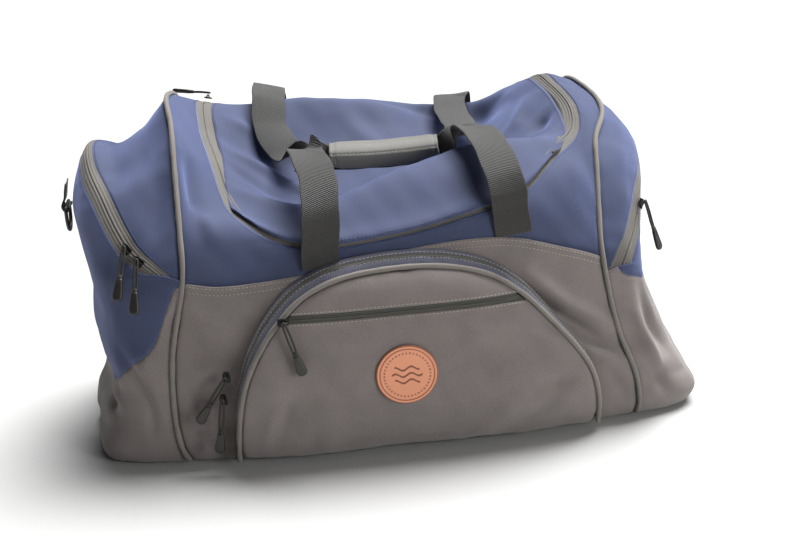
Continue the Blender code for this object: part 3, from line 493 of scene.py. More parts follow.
def crease_height(points):
    """How far the listed creases move each point out, in mm."""
    total = np.zeros(len(points))
    for path, width, height in CREASES:
        path = np.asarray(path, float)
        near = np.abs(points - path.mean(0)).max(1) < np.abs(path - path.mean(0)).max() + 4 * width
        if not near.any():
            continue
        p = points[near]
        lengths = np.linalg.norm(np.diff(path, axis=0), axis=1)
        best, where = np.full(len(p), 1e9), np.zeros(len(p))
        run = 0.0
        for a, b, length in zip(path, path[1:], lengths):
            t = np.clip(((p - a) @ (b - a)) / length**2, 0, 1)
            d = np.linalg.norm(p - (a + t[:, None] * (b - a)), axis=1)
            closer = d < best
            best[closer], where[closer] = d[closer], (run + t * length)[closer]
            run += length
        fade = np.sin(np.pi * (0.12 + 0.76 * where / run)) ** 0.8
        total[near] += CREASE_DEPTH * height * fade * np.exp(-((best / width) ** 2))
    return total


WAVES = [(rng.normal(size=3) / rng.uniform(9, 26), rng.uniform(0, 6.28)) for _ in range(14)]


def unevenness(points):
    """A slow, smooth unevenness between about -1 and 1."""
    return sum(np.sin(points @ direction + phase) for direction, phase in WAVES) / len(WAVES) ** 0.5


print("creases:", len(CREASES))

# %% [markdown]
# ## Panels
# A panel starts as rows of points on the skin. Its normals come from the grid itself. Along a sewn edge the
# cloth rolls in towards the seam and puckers, and everywhere it follows the creases.

# %% Panel builder
def normals_of(points, inside=(0, 0, 130)):
    """Unit normals of a grid of points, turned away from the inside."""
    made = np.cross(np.gradient(points, axis=1), np.gradient(points, axis=0))
    made /= np.maximum(np.linalg.norm(made, axis=2, keepdims=True), 1e-9)
    facing = ((points - np.asarray(inside, float)) * made).sum()
    return made if facing > 0 else -made


def runs(points, axis):
    """Distance along the grid in mm from its low edge, and the whole length, along one axis."""
    steps = np.linalg.norm(np.diff(points, axis=axis), axis=2)
    zero = np.zeros_like(np.take(steps, [0], axis=axis))
    run = np.concatenate((zero, np.cumsum(steps, axis=axis)), axis=axis)
    return run, np.take(run, [-1], axis=axis)


def mesh_of(name, points, uv=None, closed=False):
    """A mesh from a grid of points in mm, with UVs in mm; closed joins the last column to the first."""
    rows, columns = points.shape[:2]
    index = np.arange(rows * columns).reshape(rows, columns)
    after = np.roll(index, -1, axis=1) if closed else index[:, 1:]
    before = index if closed else index[:, :-1]
    faces = np.stack((before[:-1], after[:-1], after[1:], before[1:]), -1).reshape(-1, 4)
    mesh = bpy.data.meshes.new(name)
    mesh.from_pydata((points.reshape(-1, 3) * MM).tolist(), [], faces.tolist())
    if uv is not None:
        grain = mesh.uv_layers.new(name="grain")
        corners = np.empty(len(mesh.loops), np.int32)
        mesh.loops.foreach_get("vertex_index", corners)
        grain.data.foreach_set("uv", uv.reshape(-1, 2)[corners].astype(np.float32).ravel())
    mesh.shade_smooth()
    return mesh


def place(name, data, finish, body, slot=None, nodes=()):
    """A piece in the scene with its finish, the body it rides on, and the plain solids it stands for."""
    piece = bpy.data.objects.new(name, data)
    bpy.context.scene.collection.objects.link(piece)
    data.materials.append(finish)
    if isinstance(body, str):
        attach(piece, body)
    else:
        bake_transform(piece)
    if nodes:
        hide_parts(*nodes)
    return piece


TUCK_HEIGHT = 26  # mm
HALF_BASE = (320.0, 150.0)  # mm
TUCK_SHARE = (0.03, 0.075)


def tucked(points):
    """Draws the lowest cloth in under the bag, where it turns to meet the base."""
    low = np.clip(1 - points[..., 2] / TUCK_HEIGHT, 0, 1) ** 2
    away = np.linalg.norm(points[..., :2] / HALF_BASE, axis=-1, keepdims=True)
    flat = points[..., :2] / np.maximum(away, 0.2)
    found = points.copy()
    found[..., :2] -= flat * low[..., None] * np.minimum(1, away) * TUCK_SHARE
    return found


def shaped(points, edges, pucker=0.55, uneven=1.0, inside=(0, 0, 130), lift=None):
    """Grid points moved by creases and puckers. edges: how deep a sewn edge rolls in, by l, r, t or b."""
    points = tucked(points)
    normal = normals_of(points, inside)
    flat = points.reshape(-1, 3)
    move = crease_height(flat) + uneven * unevenness(flat)
    move = move.reshape(points.shape[:2])
    across, width = runs(points, 1)
    along, height = runs(points, 0)
    sides = {
        "l": (across, along), "r": (width - across, along), "t": (along, across),
        "b": (height - along, across),
    }
    for code in edges:
        move = move * (0.35 + 0.65 * (1 - np.exp(-((sides[code][0] / 24) ** 2))))
    for code, roll in edges.items():
        distance, run = sides[code]
        ripple = np.sin(run / 4.3 + 2.2 * np.sin(run / 31.0)) * (0.6 + 0.4 * np.sin(run / 17.0))
        gathers = pucker * ripple * np.exp(-distance / 11) * (1 - np.exp(-distance / 3))
        move = move - roll * np.exp(-((distance / 3.5) ** 2)) + gathers
    if lift is not None:
        move = move + lift
    return points + normal * move[..., None], np.stack((across, along), -1), normal


def face_outwards(mesh, inside=(0, 0, 0.13)):
    """Turns every face the same way if most of them look inwards."""
    centre = np.array([p.center for p in mesh.polygons])
    normal = np.array([p.normal for p in mesh.polygons])
    area = np.array([p.area for p in mesh.polygons])
    if (((centre - np.asarray(inside)) * normal).sum(1) * area).sum() < 0:
        mesh.flip_normals()


GRIDS = {}


def panel(name, points, finish, body, slot, nodes=(), inside=(0, 0, 130), thick=CLOTH_THICK, **options):
    """A sewn panel: the shaped grid, with the cloth's thickness and its lining on the inner side."""
    moved, uv, normal = shaped(points, inside=inside, **options)
    GRIDS[name] = (moved, uv, normal, body)
    mesh = mesh_of(name, moved, uv)
    face_outwards(mesh, np.asarray(inside) * MM)
    piece = place(name, mesh, finish, body, slot, nodes)
    cloth = piece.modifiers.new("cloth thickness", "SOLIDIFY")
    cloth.thickness, cloth.offset, cloth.material_offset = thick, -1, 1
    mesh.materials.append(LINING)
    return piece


print("unevenness at the origin:", round(float(unevenness(np.zeros((1, 3)))[0]), 3))

# %% [markdown]
# ## The lid's outline and its zip
# The lid opens along a zip that runs up the left side, along the front and down the right side. Its outline
# is a rounded rectangle laid over the skin. turn runs from 0 at the left rear to 1 at the right rear, and an
# offset moves a point away from the lid by a distance over the cloth.

# %% Lid outline
LID_SEAM_ROW, LID_HALF, LID_ROWS, LID_ROUND, LID_CORNER = 10.0, 0.80, 6.0, 5.0, 0.29
CORNER = 0.5 ** (1 / LID_ROUND)
HALF_BODY, ROW_PITCH = 240.0, 38.0


def lid_outline(turn, across_more=0.0, rows_more=0.0):
    """Across and row of the lid's zip."""
    turn = np.asarray(turn, float)
    from_rear = np.minimum(turn, 1 - turn) / LID_CORNER
    front = CORNER * np.abs(turn - 0.5) / (0.5 - LID_CORNER)
    rounded = (1 - np.minimum(front, 1) ** LID_ROUND) ** (1 / LID_ROUND)
    down = np.where(from_rear < 1, from_rear * CORNER, rounded)
    out = np.where(from_rear < 1, (1 - np.minimum(down, 1) ** LID_ROUND) ** (1 / LID_ROUND), front)
    side = np.where(turn > 0.5, 1, -1)
    return np.stack((side * (LID_HALF + across_more) * out, LID_SEAM_ROW - (LID_ROWS + rows_more) * down), -1)


def lid_edge(turn, offset=0.0):
    """The same, moved outwards by a distance in mm over the cloth."""
    turn, offset = np.broadcast_arrays(np.asarray(turn, float), np.asarray(offset, float))
    start = lid_outline(turn)
    probe = np.where(offset >= 0, 4.0, -4.0)
    end = lid_outline(turn, probe / HALF_BODY, probe / ROW_PITCH)
    step = np.linalg.norm(
        body_skin(end[..., 0], end[..., 1]) - body_skin(start[..., 0], start[..., 1]), axis=-1,
    )
    return start + (end - start) * (np.abs(offset) / step)[..., None]


def on_body(pairs):
    return body_skin(pairs[..., 0], pairs[..., 1])


lid_run = np.linalg.norm(np.diff(on_body(lid_edge(spread(0, 1, 200))), axis=0), axis=1).sum()
print("lid zip length:", round(lid_run), "mm")

# %% Lid, yokes and body panels
SEAM_ROW = 3.0


def beside_piping(side, row, distance=1.5):
    """How far across the body a point near the piping lies."""
    inward = np.linalg.norm(body_skin(side, row) - body_skin(side * 0.96, row), axis=-1) / 0.04
    return side * (1 - distance / inward)


def body_rows(rows, count):
    rows = np.asarray(rows, float)
    low, high = beside_piping(-1.0, rows), beside_piping(1.0, rows)
    share = spread(0, 1, count)[None, :]
    return body_skin(low[:, None] + (high - low)[:, None] * share, np.repeat(rows[:, None], count, 1))


def yoke(low, high, turns, widths):
    """Rows of points in the band between the lid's zip and the piping or the lower panel."""
    turn = spread(low, high, turns)
    inner = lid_edge(turn, TAPE_HALF - 1.0)
    from_rear = np.minimum(turn, 1 - turn) / LID_CORNER
    row = LID_SEAM_ROW - (LID_SEAM_ROW - SEAM_ROW) * np.minimum(from_rear, 1)
    share = np.where(from_rear < 1, 1, np.abs(turn - 0.5) / (0.5 - LID_CORNER))
    side = np.where(turn > 0.5, 1.0, -1.0)
    reach = np.where(side > 0, beside_piping(1.0, row), -beside_piping(-1.0, row))
    outer = np.stack((side * reach * share, row), -1)
    w = spread(0, 1, widths)[:, None, None]
    return on_body(inner + (outer - inner) * w)


def lid_inset(turn):
    """The lid's cloth stops short of the zip at its sides, and overhangs it along its front."""
    turn = np.asarray(turn, float)
    near = np.minimum(turn, 1 - turn)
    share = np.clip((near - 0.2) / 0.09, 0, 1)
    bulge = 3.5 * np.exp(-(((near - 0.165) / 0.035) ** 2))
    return -(TAPE_HALF - 1.0) - bulge + (TAPE_HALF + 5.5) * share**2 * (3 - 2 * share)


def lid_grid(columns, rows):
    """Points over the lid, between its zip and its rear seam."""
    p, q = np.meshgrid(spread(0, 1, columns), spread(0, 1, rows))
    turns = [LID_CORNER * q, 1 - LID_CORNER * q, LID_CORNER + (1 - 2 * LID_CORNER) * p]
    left, right, front = [lid_edge(turn, lid_inset(turn)) for turn in turns]
    ends = [lid_edge(t, lid_inset(t)) for t in (0.0, 1.0, LID_CORNER, 1 - LID_CORNER)]
    rear = ends[0] + (ends[1] - ends[0]) * p[..., None]
    rear[..., 1] = LID_SEAM_ROW
    p, q = p[..., None], q[..., None]
    edges = (1 - q) * rear + q * front + (1 - p) * left + p * right
    corners = (1 - p) * (1 - q) * ends[0] + p * (1 - q) * ends[1] + (1 - p) * q * ends[2] + p * q * ends[3]
    return on_body(edges - corners)


LID_BLEND = ("bag", "lid", (0, 0.149, 0.286), (0, 0.120, 0.300))
lid_points = lid_grid(120, 84)
to_front = runs(lid_points, 0)
overhang = 5.0 * np.exp(-(((to_front[1] - to_front[0]) / 15) ** 2))
BESIDE_ZIP, AT_PIPING, AT_SEAM = 0.1, 1.8, 1.2  # how deep cloth rolls in at each kind of edge, in mm
panel(
    "lid_cloth", lid_points, BLUE, LID_BLEND, "blue_cloth", ["lid_panel"],
    edges={"l": BESIDE_ZIP, "r": BESIDE_ZIP, "t": AT_SEAM, "b": 1.5}, lift=overhang,
)
panel(
    "yoke_cloth", yoke(0, 1, 300, 15), BLUE, "bag", "blue_cloth", ["front_yoke", "left_yoke", "right_yoke"],
    edges={"t": BESIDE_ZIP, "b": 1.0},
)
panel(
    "front_cloth", body_rows(spread(0, SEAM_ROW, 60), 130), GREY, "bag", "grey_cloth", ["front_panel"],
    edges={"l": AT_PIPING, "r": AT_PIPING, "b": -1.4},
)
panel(
    "back_upper_cloth", body_rows(
        spread(10.0, 10.7, 28), 124,
    ), BLUE, "bag", "blue_cloth", ["back_panel_upper"],
    edges={"l": AT_PIPING, "r": AT_PIPING, "t": AT_SEAM, "b": 0.4},
)
panel(
    "back_lower_cloth", body_rows(spread(10.7, 12, 50), 124), GREY, "bag", "grey_cloth", ["back_panel_lower"],
    edges={"l": AT_PIPING, "r": AT_PIPING, "t": -0.8},
)
print("body panels made")

# %% [markdown]
# ## End pockets
# Each end pocket has an arched zip. Inside it is a blue gusset that joins the body at the piping. Outside it
# the cloth is blue above and grey below, and its upper part folds out as a flap. One piece of cloth crosses
# that fold.

# %% End pocket cloth
END_ZIP_ROWS = {-1: (3.0, 10.6), 1: (2.7, 10.6)}
END_SPLIT_Z = {-1: 196.0, 1: 160.0}
END_NAMES = {-1: "left", 1: "right"}
# Height of the colour seam at the piping, a little out and at the far end, in mm.
END_SEAM_Z = {-1: (200, 142, 92), 1: (196, 168, 150)}


def end_zip_out(side, row, offset=0.0):
    """How far out on the end pocket its zip runs, moved outwards by an offset in mm."""
    low, high = END_ZIP_ROWS[side]
    share = np.clip((row - low) / (high - low), 0, 1)
    out = 0.05 + 0.40 * np.sin(np.pi * share) ** 0.6
    step = np.linalg.norm(end_skin(side, out + 0.02, row) - end_skin(side, out, row), axis=-1) / 0.02
    return out + offset / np.maximum(step, 60)


def beside_ring(side, row, distance=1.5):
    step = np.linalg.norm(end_skin(side, 0.03, row) - end_skin(side, 0.0, row), axis=-1) / 0.03
    return distance / step


def colour_field(side, points, out):
    """Height of each point above the colour seam, in mm."""
    near, middle, far = END_SEAM_Z[side]
    heights = (near, near - 8, middle, (middle + far) / 2, far, far)
    wanted = smooth((0, 0.05, 0.12, 0.3, 0.55, 1), heights, out.ravel())
    return points[..., 2] - wanted.reshape(out.shape)


def cut_grid(points, field):
    """Moves the grid's points on to the line where field is 0, and returns the faces on each side of it."""
    points, field, rows, columns = points.copy(), field.copy(), *field.shape
    best = np.full(field.shape, 1e9)
    target = points.copy()
    for di, dj in ((0, 1), (1, 0)):
        a, b = field[: rows - di, : columns - dj], field[di:, dj:]
        cross = a * b < 0
        t = np.where(cross, a / np.where(cross, a - b, 1), 0)
        for i, j in zip(*np.nonzero(cross)):
            first = t[i, j] < 0.5
            at, far = ((i, j), t[i, j]) if first else ((i + di, j + dj), 1 - t[i, j])
            if far < best[at]:
                best[at] = far
                target[at] = points[i, j] + (points[i + di, j + dj] - points[i, j]) * t[i, j]
    moved = best < 1
    points[moved], field[moved] = target[moved], 0
    index = np.arange(rows * columns).reshape(rows, columns)
    sign = np.sign(field).ravel()
    sides = {1: [], -1: []}
    for i in range(rows - 1):
        for j in range(columns - 1):
            q = [index[i, j], index[i, j + 1], index[i + 1, j + 1], index[i + 1, j]]
            signs = sign[q]
            if signs.max() > 0 and signs.min() < 0:
                k = 0 if signs[0] == 0 and signs[2] == 0 else 1
                for tri in ([q[k], q[k + 1], q[k + 2]], [q[k + 2], q[(k + 3) % 4], q[k]]):
                    sides[1 if sign[tri].max() > 0 else -1].append(tri)
            else:
                sides[1 if signs.max() > 0 else -1].append(q)
    return points, sides


def between(side, rows, start, stop, count):
    share = spread(0, 1, count)[None, :]
    return end_skin(
        side, start[:, None] + (stop - start)[:, None] * share, np.repeat(rows[:, None], count, 1),
    )


def end_blend(side):
    foot_x = {-1: -0.3415, 1: 0.2969}[side]
    split = END_SPLIT_Z[side] * MM
    return ("bag", END_NAMES[side] + "_end", (foot_x, 0, split - 0.010), (foot_x, 0, split + 0.016))


for side, name in END_NAMES.items():
    low, high = END_ZIP_ROWS[side]
    rows = spread(low + 0.02, high - 0.02, 120)
    points = between(side, rows, beside_ring(side, rows), end_zip_out(side, rows, -TAPE_HALF + 1), 22)
    panel(
        f"{name}_end_gusset_cloth", points, BLUE, "bag", "blue_cloth", [f"{name}_end_gusset"],
        edges={"l": AT_PIPING, "r": BESIDE_ZIP},
    )
    rows = np.concatenate((
        spread(0, low - 0.1, 40), spread(low - 0.08, low + 0.5, 26), spread(low + 0.54, high - 0.5, 90),
        spread(high - 0.46, high + 0.1, 20), spread(high + 0.16, LAST_ROW, 16),
    ))
    ring, arch = beside_ring(side, rows), end_zip_out(side, rows, TAPE_HALF - 1)
    ease = np.clip((np.minimum(rows - low, high - rows) - 0.02) / 0.3, 0, 1)
    start = ring + (np.maximum(arch, ring) - ring) * ease * ease * (3 - 2 * ease)
    share = spread(0, 1, 64)[None, :]
    outs = start[:, None] + (1 - start[:, None]) * share
    points = end_skin(side, outs, np.repeat(rows[:, None], 64, 1))
    field = colour_field(side, points, outs)
    over_end = 2.2 * np.exp(-(((rows - low - 0.1) / 0.35) ** 2))[:, None] * np.exp(-((share / 0.12) ** 2))
    moved, uv, normal = shaped(points, {"l": 0.4}, lift=over_end - 1.1 * np.exp(-((field / 2.2) ** 2)))
    GRIDS[f"{name}_end_outer"] = (moved, uv, normal, end_blend(side))
    cut, sides = cut_grid(moved, field)
    for sign, finish, slot, node, label in (
        (1, BLUE, "blue_cloth", f"{name}_end_flap", "flap"), (
            -1, GREY, "grey_cloth", f"{name}_end_panel", "lower",
        ),
    ):
        used = np.unique(np.concatenate([np.ravel(f) for f in sides[sign]]))
        remap = np.zeros(cut.shape[0] * cut.shape[1], int)
        remap[used] = np.arange(len(used))
        mesh = bpy.data.meshes.new(f"{name}_end_{label}_cloth")
        mesh.from_pydata(
            (cut.reshape(-1, 3)[used] * MM).tolist(), [], [remap[f].tolist() for f in sides[sign]],
        )
        grain = mesh.uv_layers.new(name="grain")
        corners = np.empty(len(mesh.loops), np.int32)
        mesh.loops.foreach_get("vertex_index", corners)
        grain.data.foreach_set("uv", uv.reshape(-1, 2)[used][corners].astype(np.float32).ravel())
        mesh.shade_smooth()
        face_outwards(mesh)
        piece = place(mesh.name, mesh, finish, end_blend(side), slot, [node])
        cloth = piece.modifiers.new("cloth thickness", "SOLIDIFY")
        cloth.thickness, cloth.offset, cloth.material_offset = CLOTH_THICK, -1, 1
        mesh.materials.append(LINING)
print("end pockets made")

# %% [markdown]
# ## Zips
# These are reversed coil zips. The coil is behind the tape, so the front shows two flat tapes that meet at a
# narrow seam, with a rib and a line of stitching beside it. Each half is a band along the zip's path,
# whose cross-section is the list below: distance from the middle, then height, in mm.

# %% Zip tapes
TAPE_SHAPE = np.array(
    (
        (0.2, -1.6), (0.35, -0.4), (0.9, 0.3), (1.9, 0.4), (3.0, 0.2), (3.5, -0.5), (4.1, -0.1),
        (6.8, 0.0), (7.4, -0.5), (8.0, -0.1), (11.0, -0.3), (12.5, -1.5), (17.5, -2.6),
    )
)


def with_cloth(grid, offsets=(0, 0, 0)):
    """How far a zip moves out with the cloth that is sewn to it, in mm."""
    flat = grid.reshape(-1, 3)
    under = np.maximum(np.abs(offsets) - TAPE_HALF + 1, 0)
    follow = 0.35 + 0.65 * (1 - np.exp(-((under / 24) ** 2)))
    move = (crease_height(flat) + unevenness(flat)).reshape(grid.shape[:2])[..., None]
    return np.where(move < 0, move * follow[:, None, None], move * 0.12)


def zip_half(name, path, sign, body, node, slot="grey_trim", scale=1.0, inside=(0, 0, 130), finish=TAPE):
    """One half of a zip. path gives points at an offset from its middle."""
    grid = np.stack([path(sign * d * scale) for d in TAPE_SHAPE[:, 0]])
    normal = normals_of(grid, inside)
    across, along = runs(grid, 0)[0], runs(grid, 1)[0]
    height = TAPE_SHAPE[:, 1, None, None] + with_cloth(grid, TAPE_SHAPE[:, 0] * scale)
    mesh = mesh_of(name, grid + normal * height, np.stack((along, across), -1))
    face_outwards(mesh, np.asarray(inside) * MM)
    piece = place(name, mesh, finish, body, slot, [node])
    cloth = piece.modifiers.new("tape thickness", "SOLIDIFY")
    cloth.thickness, cloth.offset = 0.7 * MM, -1
    return piece


def zip_line(name, path, body, inside=(0, 0, 130)):
    """The dark coil that shows in the seam between the halves."""
    grid = np.stack([path(d) for d in (-0.9, 0, 0.9)])
    mesh = mesh_of(name, grid + normals_of(grid, inside) * (with_cloth(grid) - 1.5))
    return place(name, mesh, COIL, body)


lid_turns = spread(0.002, 0.998, 330)


def lid_path(offset):
    return on_body(lid_edge(lid_turns, offset))


def end_path(side):
    """The path of an end pocket's zip."""
    low, high = END_ZIP_ROWS[side]
    arch = spread(low + 0.03, high - 0.03, 220)
    return lambda offset: end_skin(side, end_zip_out(side, arch, offset), arch)


zip_half("lid_tape_inner", lid_path, -1, LID_BLEND, "lid_zip_inner")
zip_half("lid_tape_outer", lid_path, 1, "bag", "lid_zip_outer")
zip_line("lid_coil", lid_path, "bag")
for side, name in END_NAMES.items():
    path = end_path(side)
    zip_half(f"{name}_end_tape_inner", path, -1, "bag", f"{name}_end_zip_inner")
    zip_half(f"{name}_end_tape_outer", path, 1, end_blend(side), f"{name}_end_zip_outer")
    zip_line(f"{name}_end_coil", path, "bag")

# %% [markdown]
# ## Piping
# A cord wrapped in bias cloth stands up in each seam between the body and an end pocket. It is a tube along
# the seam, a little uneven where the cloth is drawn round it.

# %% Tubes
def hoops(side, up, turn):
    """A unit circle round each point of a cord."""
    return np.cos(turn)[None, :, None] * side[:, None] + np.sin(turn)[None, :, None] * up[:, None]


def tube(
    name, points, radius, finish, body, slot=None, nodes=(), closed=False, sides=14, flat=1.0, wobble=0.0,
):
    """A round cord along points in mm; radius may vary along it."""
    points = np.asarray(points, float)
    ends = (np.roll(points, -1, 0) - np.roll(points, 1, 0)) if closed else np.gradient(points, axis=0)
    tangent = ends / np.linalg.norm(ends, axis=1, keepdims=True)
    side = np.cross(tangent, points - points.mean(0))
    side /= np.maximum(np.linalg.norm(side, axis=1, keepdims=True), 1e-9)
    up = np.cross(side, tangent)
    turn = spread(0, 2 * np.pi, sides + 1)[:-1]
    run = np.concatenate(([0], np.cumsum(np.linalg.norm(np.diff(points, axis=0), axis=1))))
    radii = radius * (1 + wobble * np.sin(run / 5.0 + 2 * np.sin(run / 23.0)))
    ring = np.cos(turn)[None, :, None] * side[:, None] * flat + np.sin(turn)[None, :, None] * up[:, None]
    grid = points[:, None] + ring * np.broadcast_to(radii, len(points))[:, None, None]
    uv = np.stack(np.broadcast_arrays(turn[None] * radius, run[:, None]), -1)
    if closed:
        grid, uv = np.concatenate((grid, grid[:1])), np.concatenate((uv, uv[:1]))
    mesh = mesh_of(name, grid, uv, closed=True)
    return place(name, mesh, finish, body, slot, nodes)


def lifted_ring(side, lift):
    """The seam between the body and an end pocket, a little above the skin."""
    rows = spread(0.05, LAST_ROW - 0.05, 260)
    band = np.stack([body_skin(side * (1 - d), rows) for d in (0.03, 0.015, 0)])
    return tucked(band[2] + normals_of(band)[2] * lift)


for side, name in END_NAMES.items():
    tube(
        f"{name}_piping_cord", lifted_ring(side, 0.8), PIPING_R / MM, PIPE, "bag", "grey_trim",
        [f"{name}_piping"], wobble=0.05,
    )
print("pipings made")

# %% [markdown]
# ## Front pocket
# The pocket stands out from the front panel on a navy gusset with its own zip. Its face is grey, has a flat
# zip across it, and is edged with piping. The outline is a table of points; the face fills it row by row.

# %% Pocket outline
POCKET_EDGE = np.array(
    (
        (-190, 6), (-188, 40), (-182, 80), (-172, 110), (-157, 138), (-138, 163), (-112, 186), (-75, 200),
        (-25, 205), (28, 203), (75, 191), (110, 168), (140, 136), (168, 101), (184, 72), (191, 40), (192, 8),
    ),
    float,
)
POCKET_RIM_Y = (
    -166, -177, -184, -185, -185, -184, -181, -176, -173, -173, -175, -179, -182, -182, -179, -175, -167,
)
POCKET_LAST = len(POCKET_EDGE) - 1
POCKET_ZIP_Z, POCKET_FACE_Y = 165.0, -187.0


def rim(step):
    """The pocket's edge, from its lower left round to its lower right."""
    values = np.column_stack((POCKET_EDGE[:, 0], POCKET_RIM_Y, POCKET_EDGE[:, 1]))
    return smooth(np.arange(POCKET_LAST + 1.0), values, step)


def drawn_in(p, inset):
    """Points of the edge moved towards the pocket's middle."""
    inward = np.column_stack((-p[:, 0], np.zeros(len(p)), 60 - p[:, 2]))
    return p + inward / np.linalg.norm(inward, axis=1, keepdims=True) * inset


def front_y(x, z):
    """The front panel's y behind the pocket."""
    low, high = np.zeros(len(x)), np.full(len(x), 3.0)
    for _ in range(20):
        middle = (low + high) / 2
        below = body_skin(x / HALF_BODY, middle)[:, 2] < z
        low, high = np.where(below, middle, low), np.where(below, high, middle)
    return body_skin(x / HALF_BODY, low)[:, 1]


def rim_at_height(z, left, inset):
    """The drawn-in edge at each height on one side of the crown."""
    probe = spread(7, 9.6, 400)
    crown = probe[drawn_in(rim(probe), inset)[:, 2].argmax()]
    low, high = np.full(len(z), 0.0 if left else crown), np.full(
        len(z), crown if left else float(POCKET_LAST),
    )
    for _ in range(24):
        middle = (low + high) / 2
        below = drawn_in(rim(middle), inset)[:, 2] < z
        low, high = np.where(below == left, middle, low), np.where(below == left, high, middle)
    return drawn_in(rim((low + high) / 2), inset)


CROWN_Z = float(drawn_in(rim(spread(7, 9.5, 60)), 3.0)[:, 2].max()) - 0.05


def face_grid(heights, columns, inset=3.0):
    """Rows of points over the pocket's face."""
    z = np.asarray(heights, float)
    a, b = rim_at_height(z, True, inset)[:, None], rim_at_height(z, False, inset)[:, None]
    share = spread(-1, 1, columns)[None, :]
    p = a + (b - a) * ((share + 1) / 2)[..., None]
    swell = (1 - np.abs(share) ** 3) * smooth((3, 50, 110, 165, 200), (4, 8, 6, 1, 0.5), z)[:, None]
    flat = np.where(
        z > 90, POCKET_FACE_Y, smooth((3, 50, 90), (-172, -183, POCKET_FACE_Y), np.minimum(z, 90)),
    )[:, None]
    edge = p[..., 1]
    below_crown = np.clip((CROWN_Z - z) / 26, 0, 1)[:, None] ** 0.7
    y = edge + (np.minimum(flat, edge) - edge) * (1 - np.abs(share) ** 4) * below_crown - swell * 0.4
    return np.stack((p[..., 0], y, np.broadcast_to(z[:, None], y.shape)), -1)


# %% Pocket face, zip, gusset and piping
POCKET_CREASES = [
    (((-168, -184, 122), (-178, -182, 108), (-184, -178, 92)), 7, -4),
    (((-170, -186, 104), (-156, -187, 96), (-140, -188, 86)), 8, 3),
    (((-152, -186, 26), (-144, -190, 48), (-136, -190, 70)), 7, -4),
    (((-164, -184, 20), (-158, -188, 44), (-152, -190, 64)), 8, 4),
    (((-128, -186, 18), (-124, -190, 36), (-120, -190, 52)), 8, 3),
    (((-100, -186, 18), (-92, -190, 40)), 12, 2.5),
    (((60, -186, 12), (84, -189, 34), (104, -189, 52)), 12, 3),
    (((100, -186, 12), (124, -188, 30), (146, -186, 52)), 9, -3),
    (((150, -182, 110), (132, -187, 118), (112, -188, 128)), 9, 3),
    (((168, -181, 70), (152, -185, 66), (132, -188, 70)), 9, -3),
    (((-120, -187, 150), (-90, -188, 140), (-50, -189, 136)), 9, 2),
    (((10, -189, 150), (50, -189, 140), (96, -188, 128)), 12, 2.5),
]
CREASES += POCKET_CREASES
POCKET_INSIDE = (0, -150, 90)
upper_heights = np.concatenate((
    spread(POCKET_ZIP_Z + 4.2, CROWN_Z - 3, 16), CROWN_Z - 3 * (1 - spread(0.3, 1, 5) ** 0.5),
))
panel(
    "pocket_upper_cloth", face_grid(
        upper_heights, 96,
    ), GREY, "front_pocket", "grey_cloth", ["pocket_face_upper"],
    inside=POCKET_INSIDE, edges={"t": -0.6, "b": 0.8}, uneven=0.5, pucker=0.3,
)
panel(
    "pocket_lower_cloth", face_grid(
        spread(7.0, POCKET_ZIP_Z - 4.2, 58), 120,
    ), GREY, "front_pocket", "grey_cloth",
    ["pocket_face_lower"], inside=POCKET_INSIDE, edges={
        "l": 0.8, "r": 0.8, "b": -0.6,
    }, uneven=1.0, pucker=0.35,
)


def pocket_path(offset):
    return face_grid([POCKET_ZIP_Z - offset], 200, 4.0)[0]


for name, sign in (("upper", -1), ("lower", 1)):
    zip_half(
        f"pocket_tape_{name}", pocket_path, sign, "front_pocket", f"pocket_zip_{name}",
        scale=0.5, inside=POCKET_INSIDE, finish=DARK_TAPE,
    )
zip_line("pocket_coil", pocket_path, "front_pocket", POCKET_INSIDE)

steps = spread(0.06, POCKET_LAST - 0.06, 260)
edge = rim(steps)
outward = edge - drawn_in(edge, 1.0)
crownness = np.exp(-(((steps - 8.4) / 3.4) ** 2))[:, None]
left_side = np.exp(-(((steps - 4.0) / 2.6) ** 2))[:, None]
spread_out = outward * (2.0 + 11.0 * crownness + 4.0 * left_side)
near = edge + outward * 0.6 + np.array((0, 4.0, 0))
back = edge + spread_out
back[:, 1] = front_y(back[:, 0], back[:, 2]) - 1.0


def gusset_share(low, high, count):
    """Rows across the pocket's side wall, which swells a little, from its piping to the front panel."""
    rows = []
    for t in spread(low, high, count):
        rows.append(near + (back - near) * t + outward * 2.2 * math.sin(math.pi * t))
    return np.stack(rows)


for name, low, high in (("front", 0.0, 0.40), ("back", 0.56, 1.0)):
    panel(
        f"pocket_gusset_{name}", gusset_share(low, high, 8), NAVY, "bag", "navy_cloth",
        ["pocket_gusset"] if name == "front" else (), inside=POCKET_INSIDE, edges={
            "t": 0.4, "b": 0.4,
        }, uneven=0.4, pucker=0.3, thick=0.9 * MM,
    )
groove = gusset_share(0.38, 0.58, 9)
groove_normal = normals_of(groove, POCKET_INSIDE)
groove_height = np.array((0.0, -0.5, -0.2, -0.2, -1.4, -0.2, -0.2, -0.5, 0.0))[:, None, None]
groove_uv = np.stack((runs(groove, 1)[0], runs(groove, 0)[0]), -1)
groove_mesh = mesh_of("pocket_gusset_zip", groove + groove_normal * groove_height, groove_uv)
face_outwards(groove_mesh, np.asarray(POCKET_INSIDE) * MM)
place("pocket_gusset_zip", groove_mesh, DARK_TAPE, "bag", "navy_cloth")
tube(
    "pocket_piping_cord", edge + np.array((0, 1.0, 0)), PIPING_R / MM, PIPE, "front_pocket", "grey_trim",
    ["pocket_piping"], wobble=0.05,
)
print("pocket made, crown at", round(CROWN_Z), "mm")

# %% [markdown]
# ## Webbing handles
# The webbing is a flat band about 38 mm wide. Each handle is a list of stops: a centre, the direction of its
# width, and how much of the width shows where it is folded. It is stitched to the body at its ends and runs
# into the padded grip in the middle.

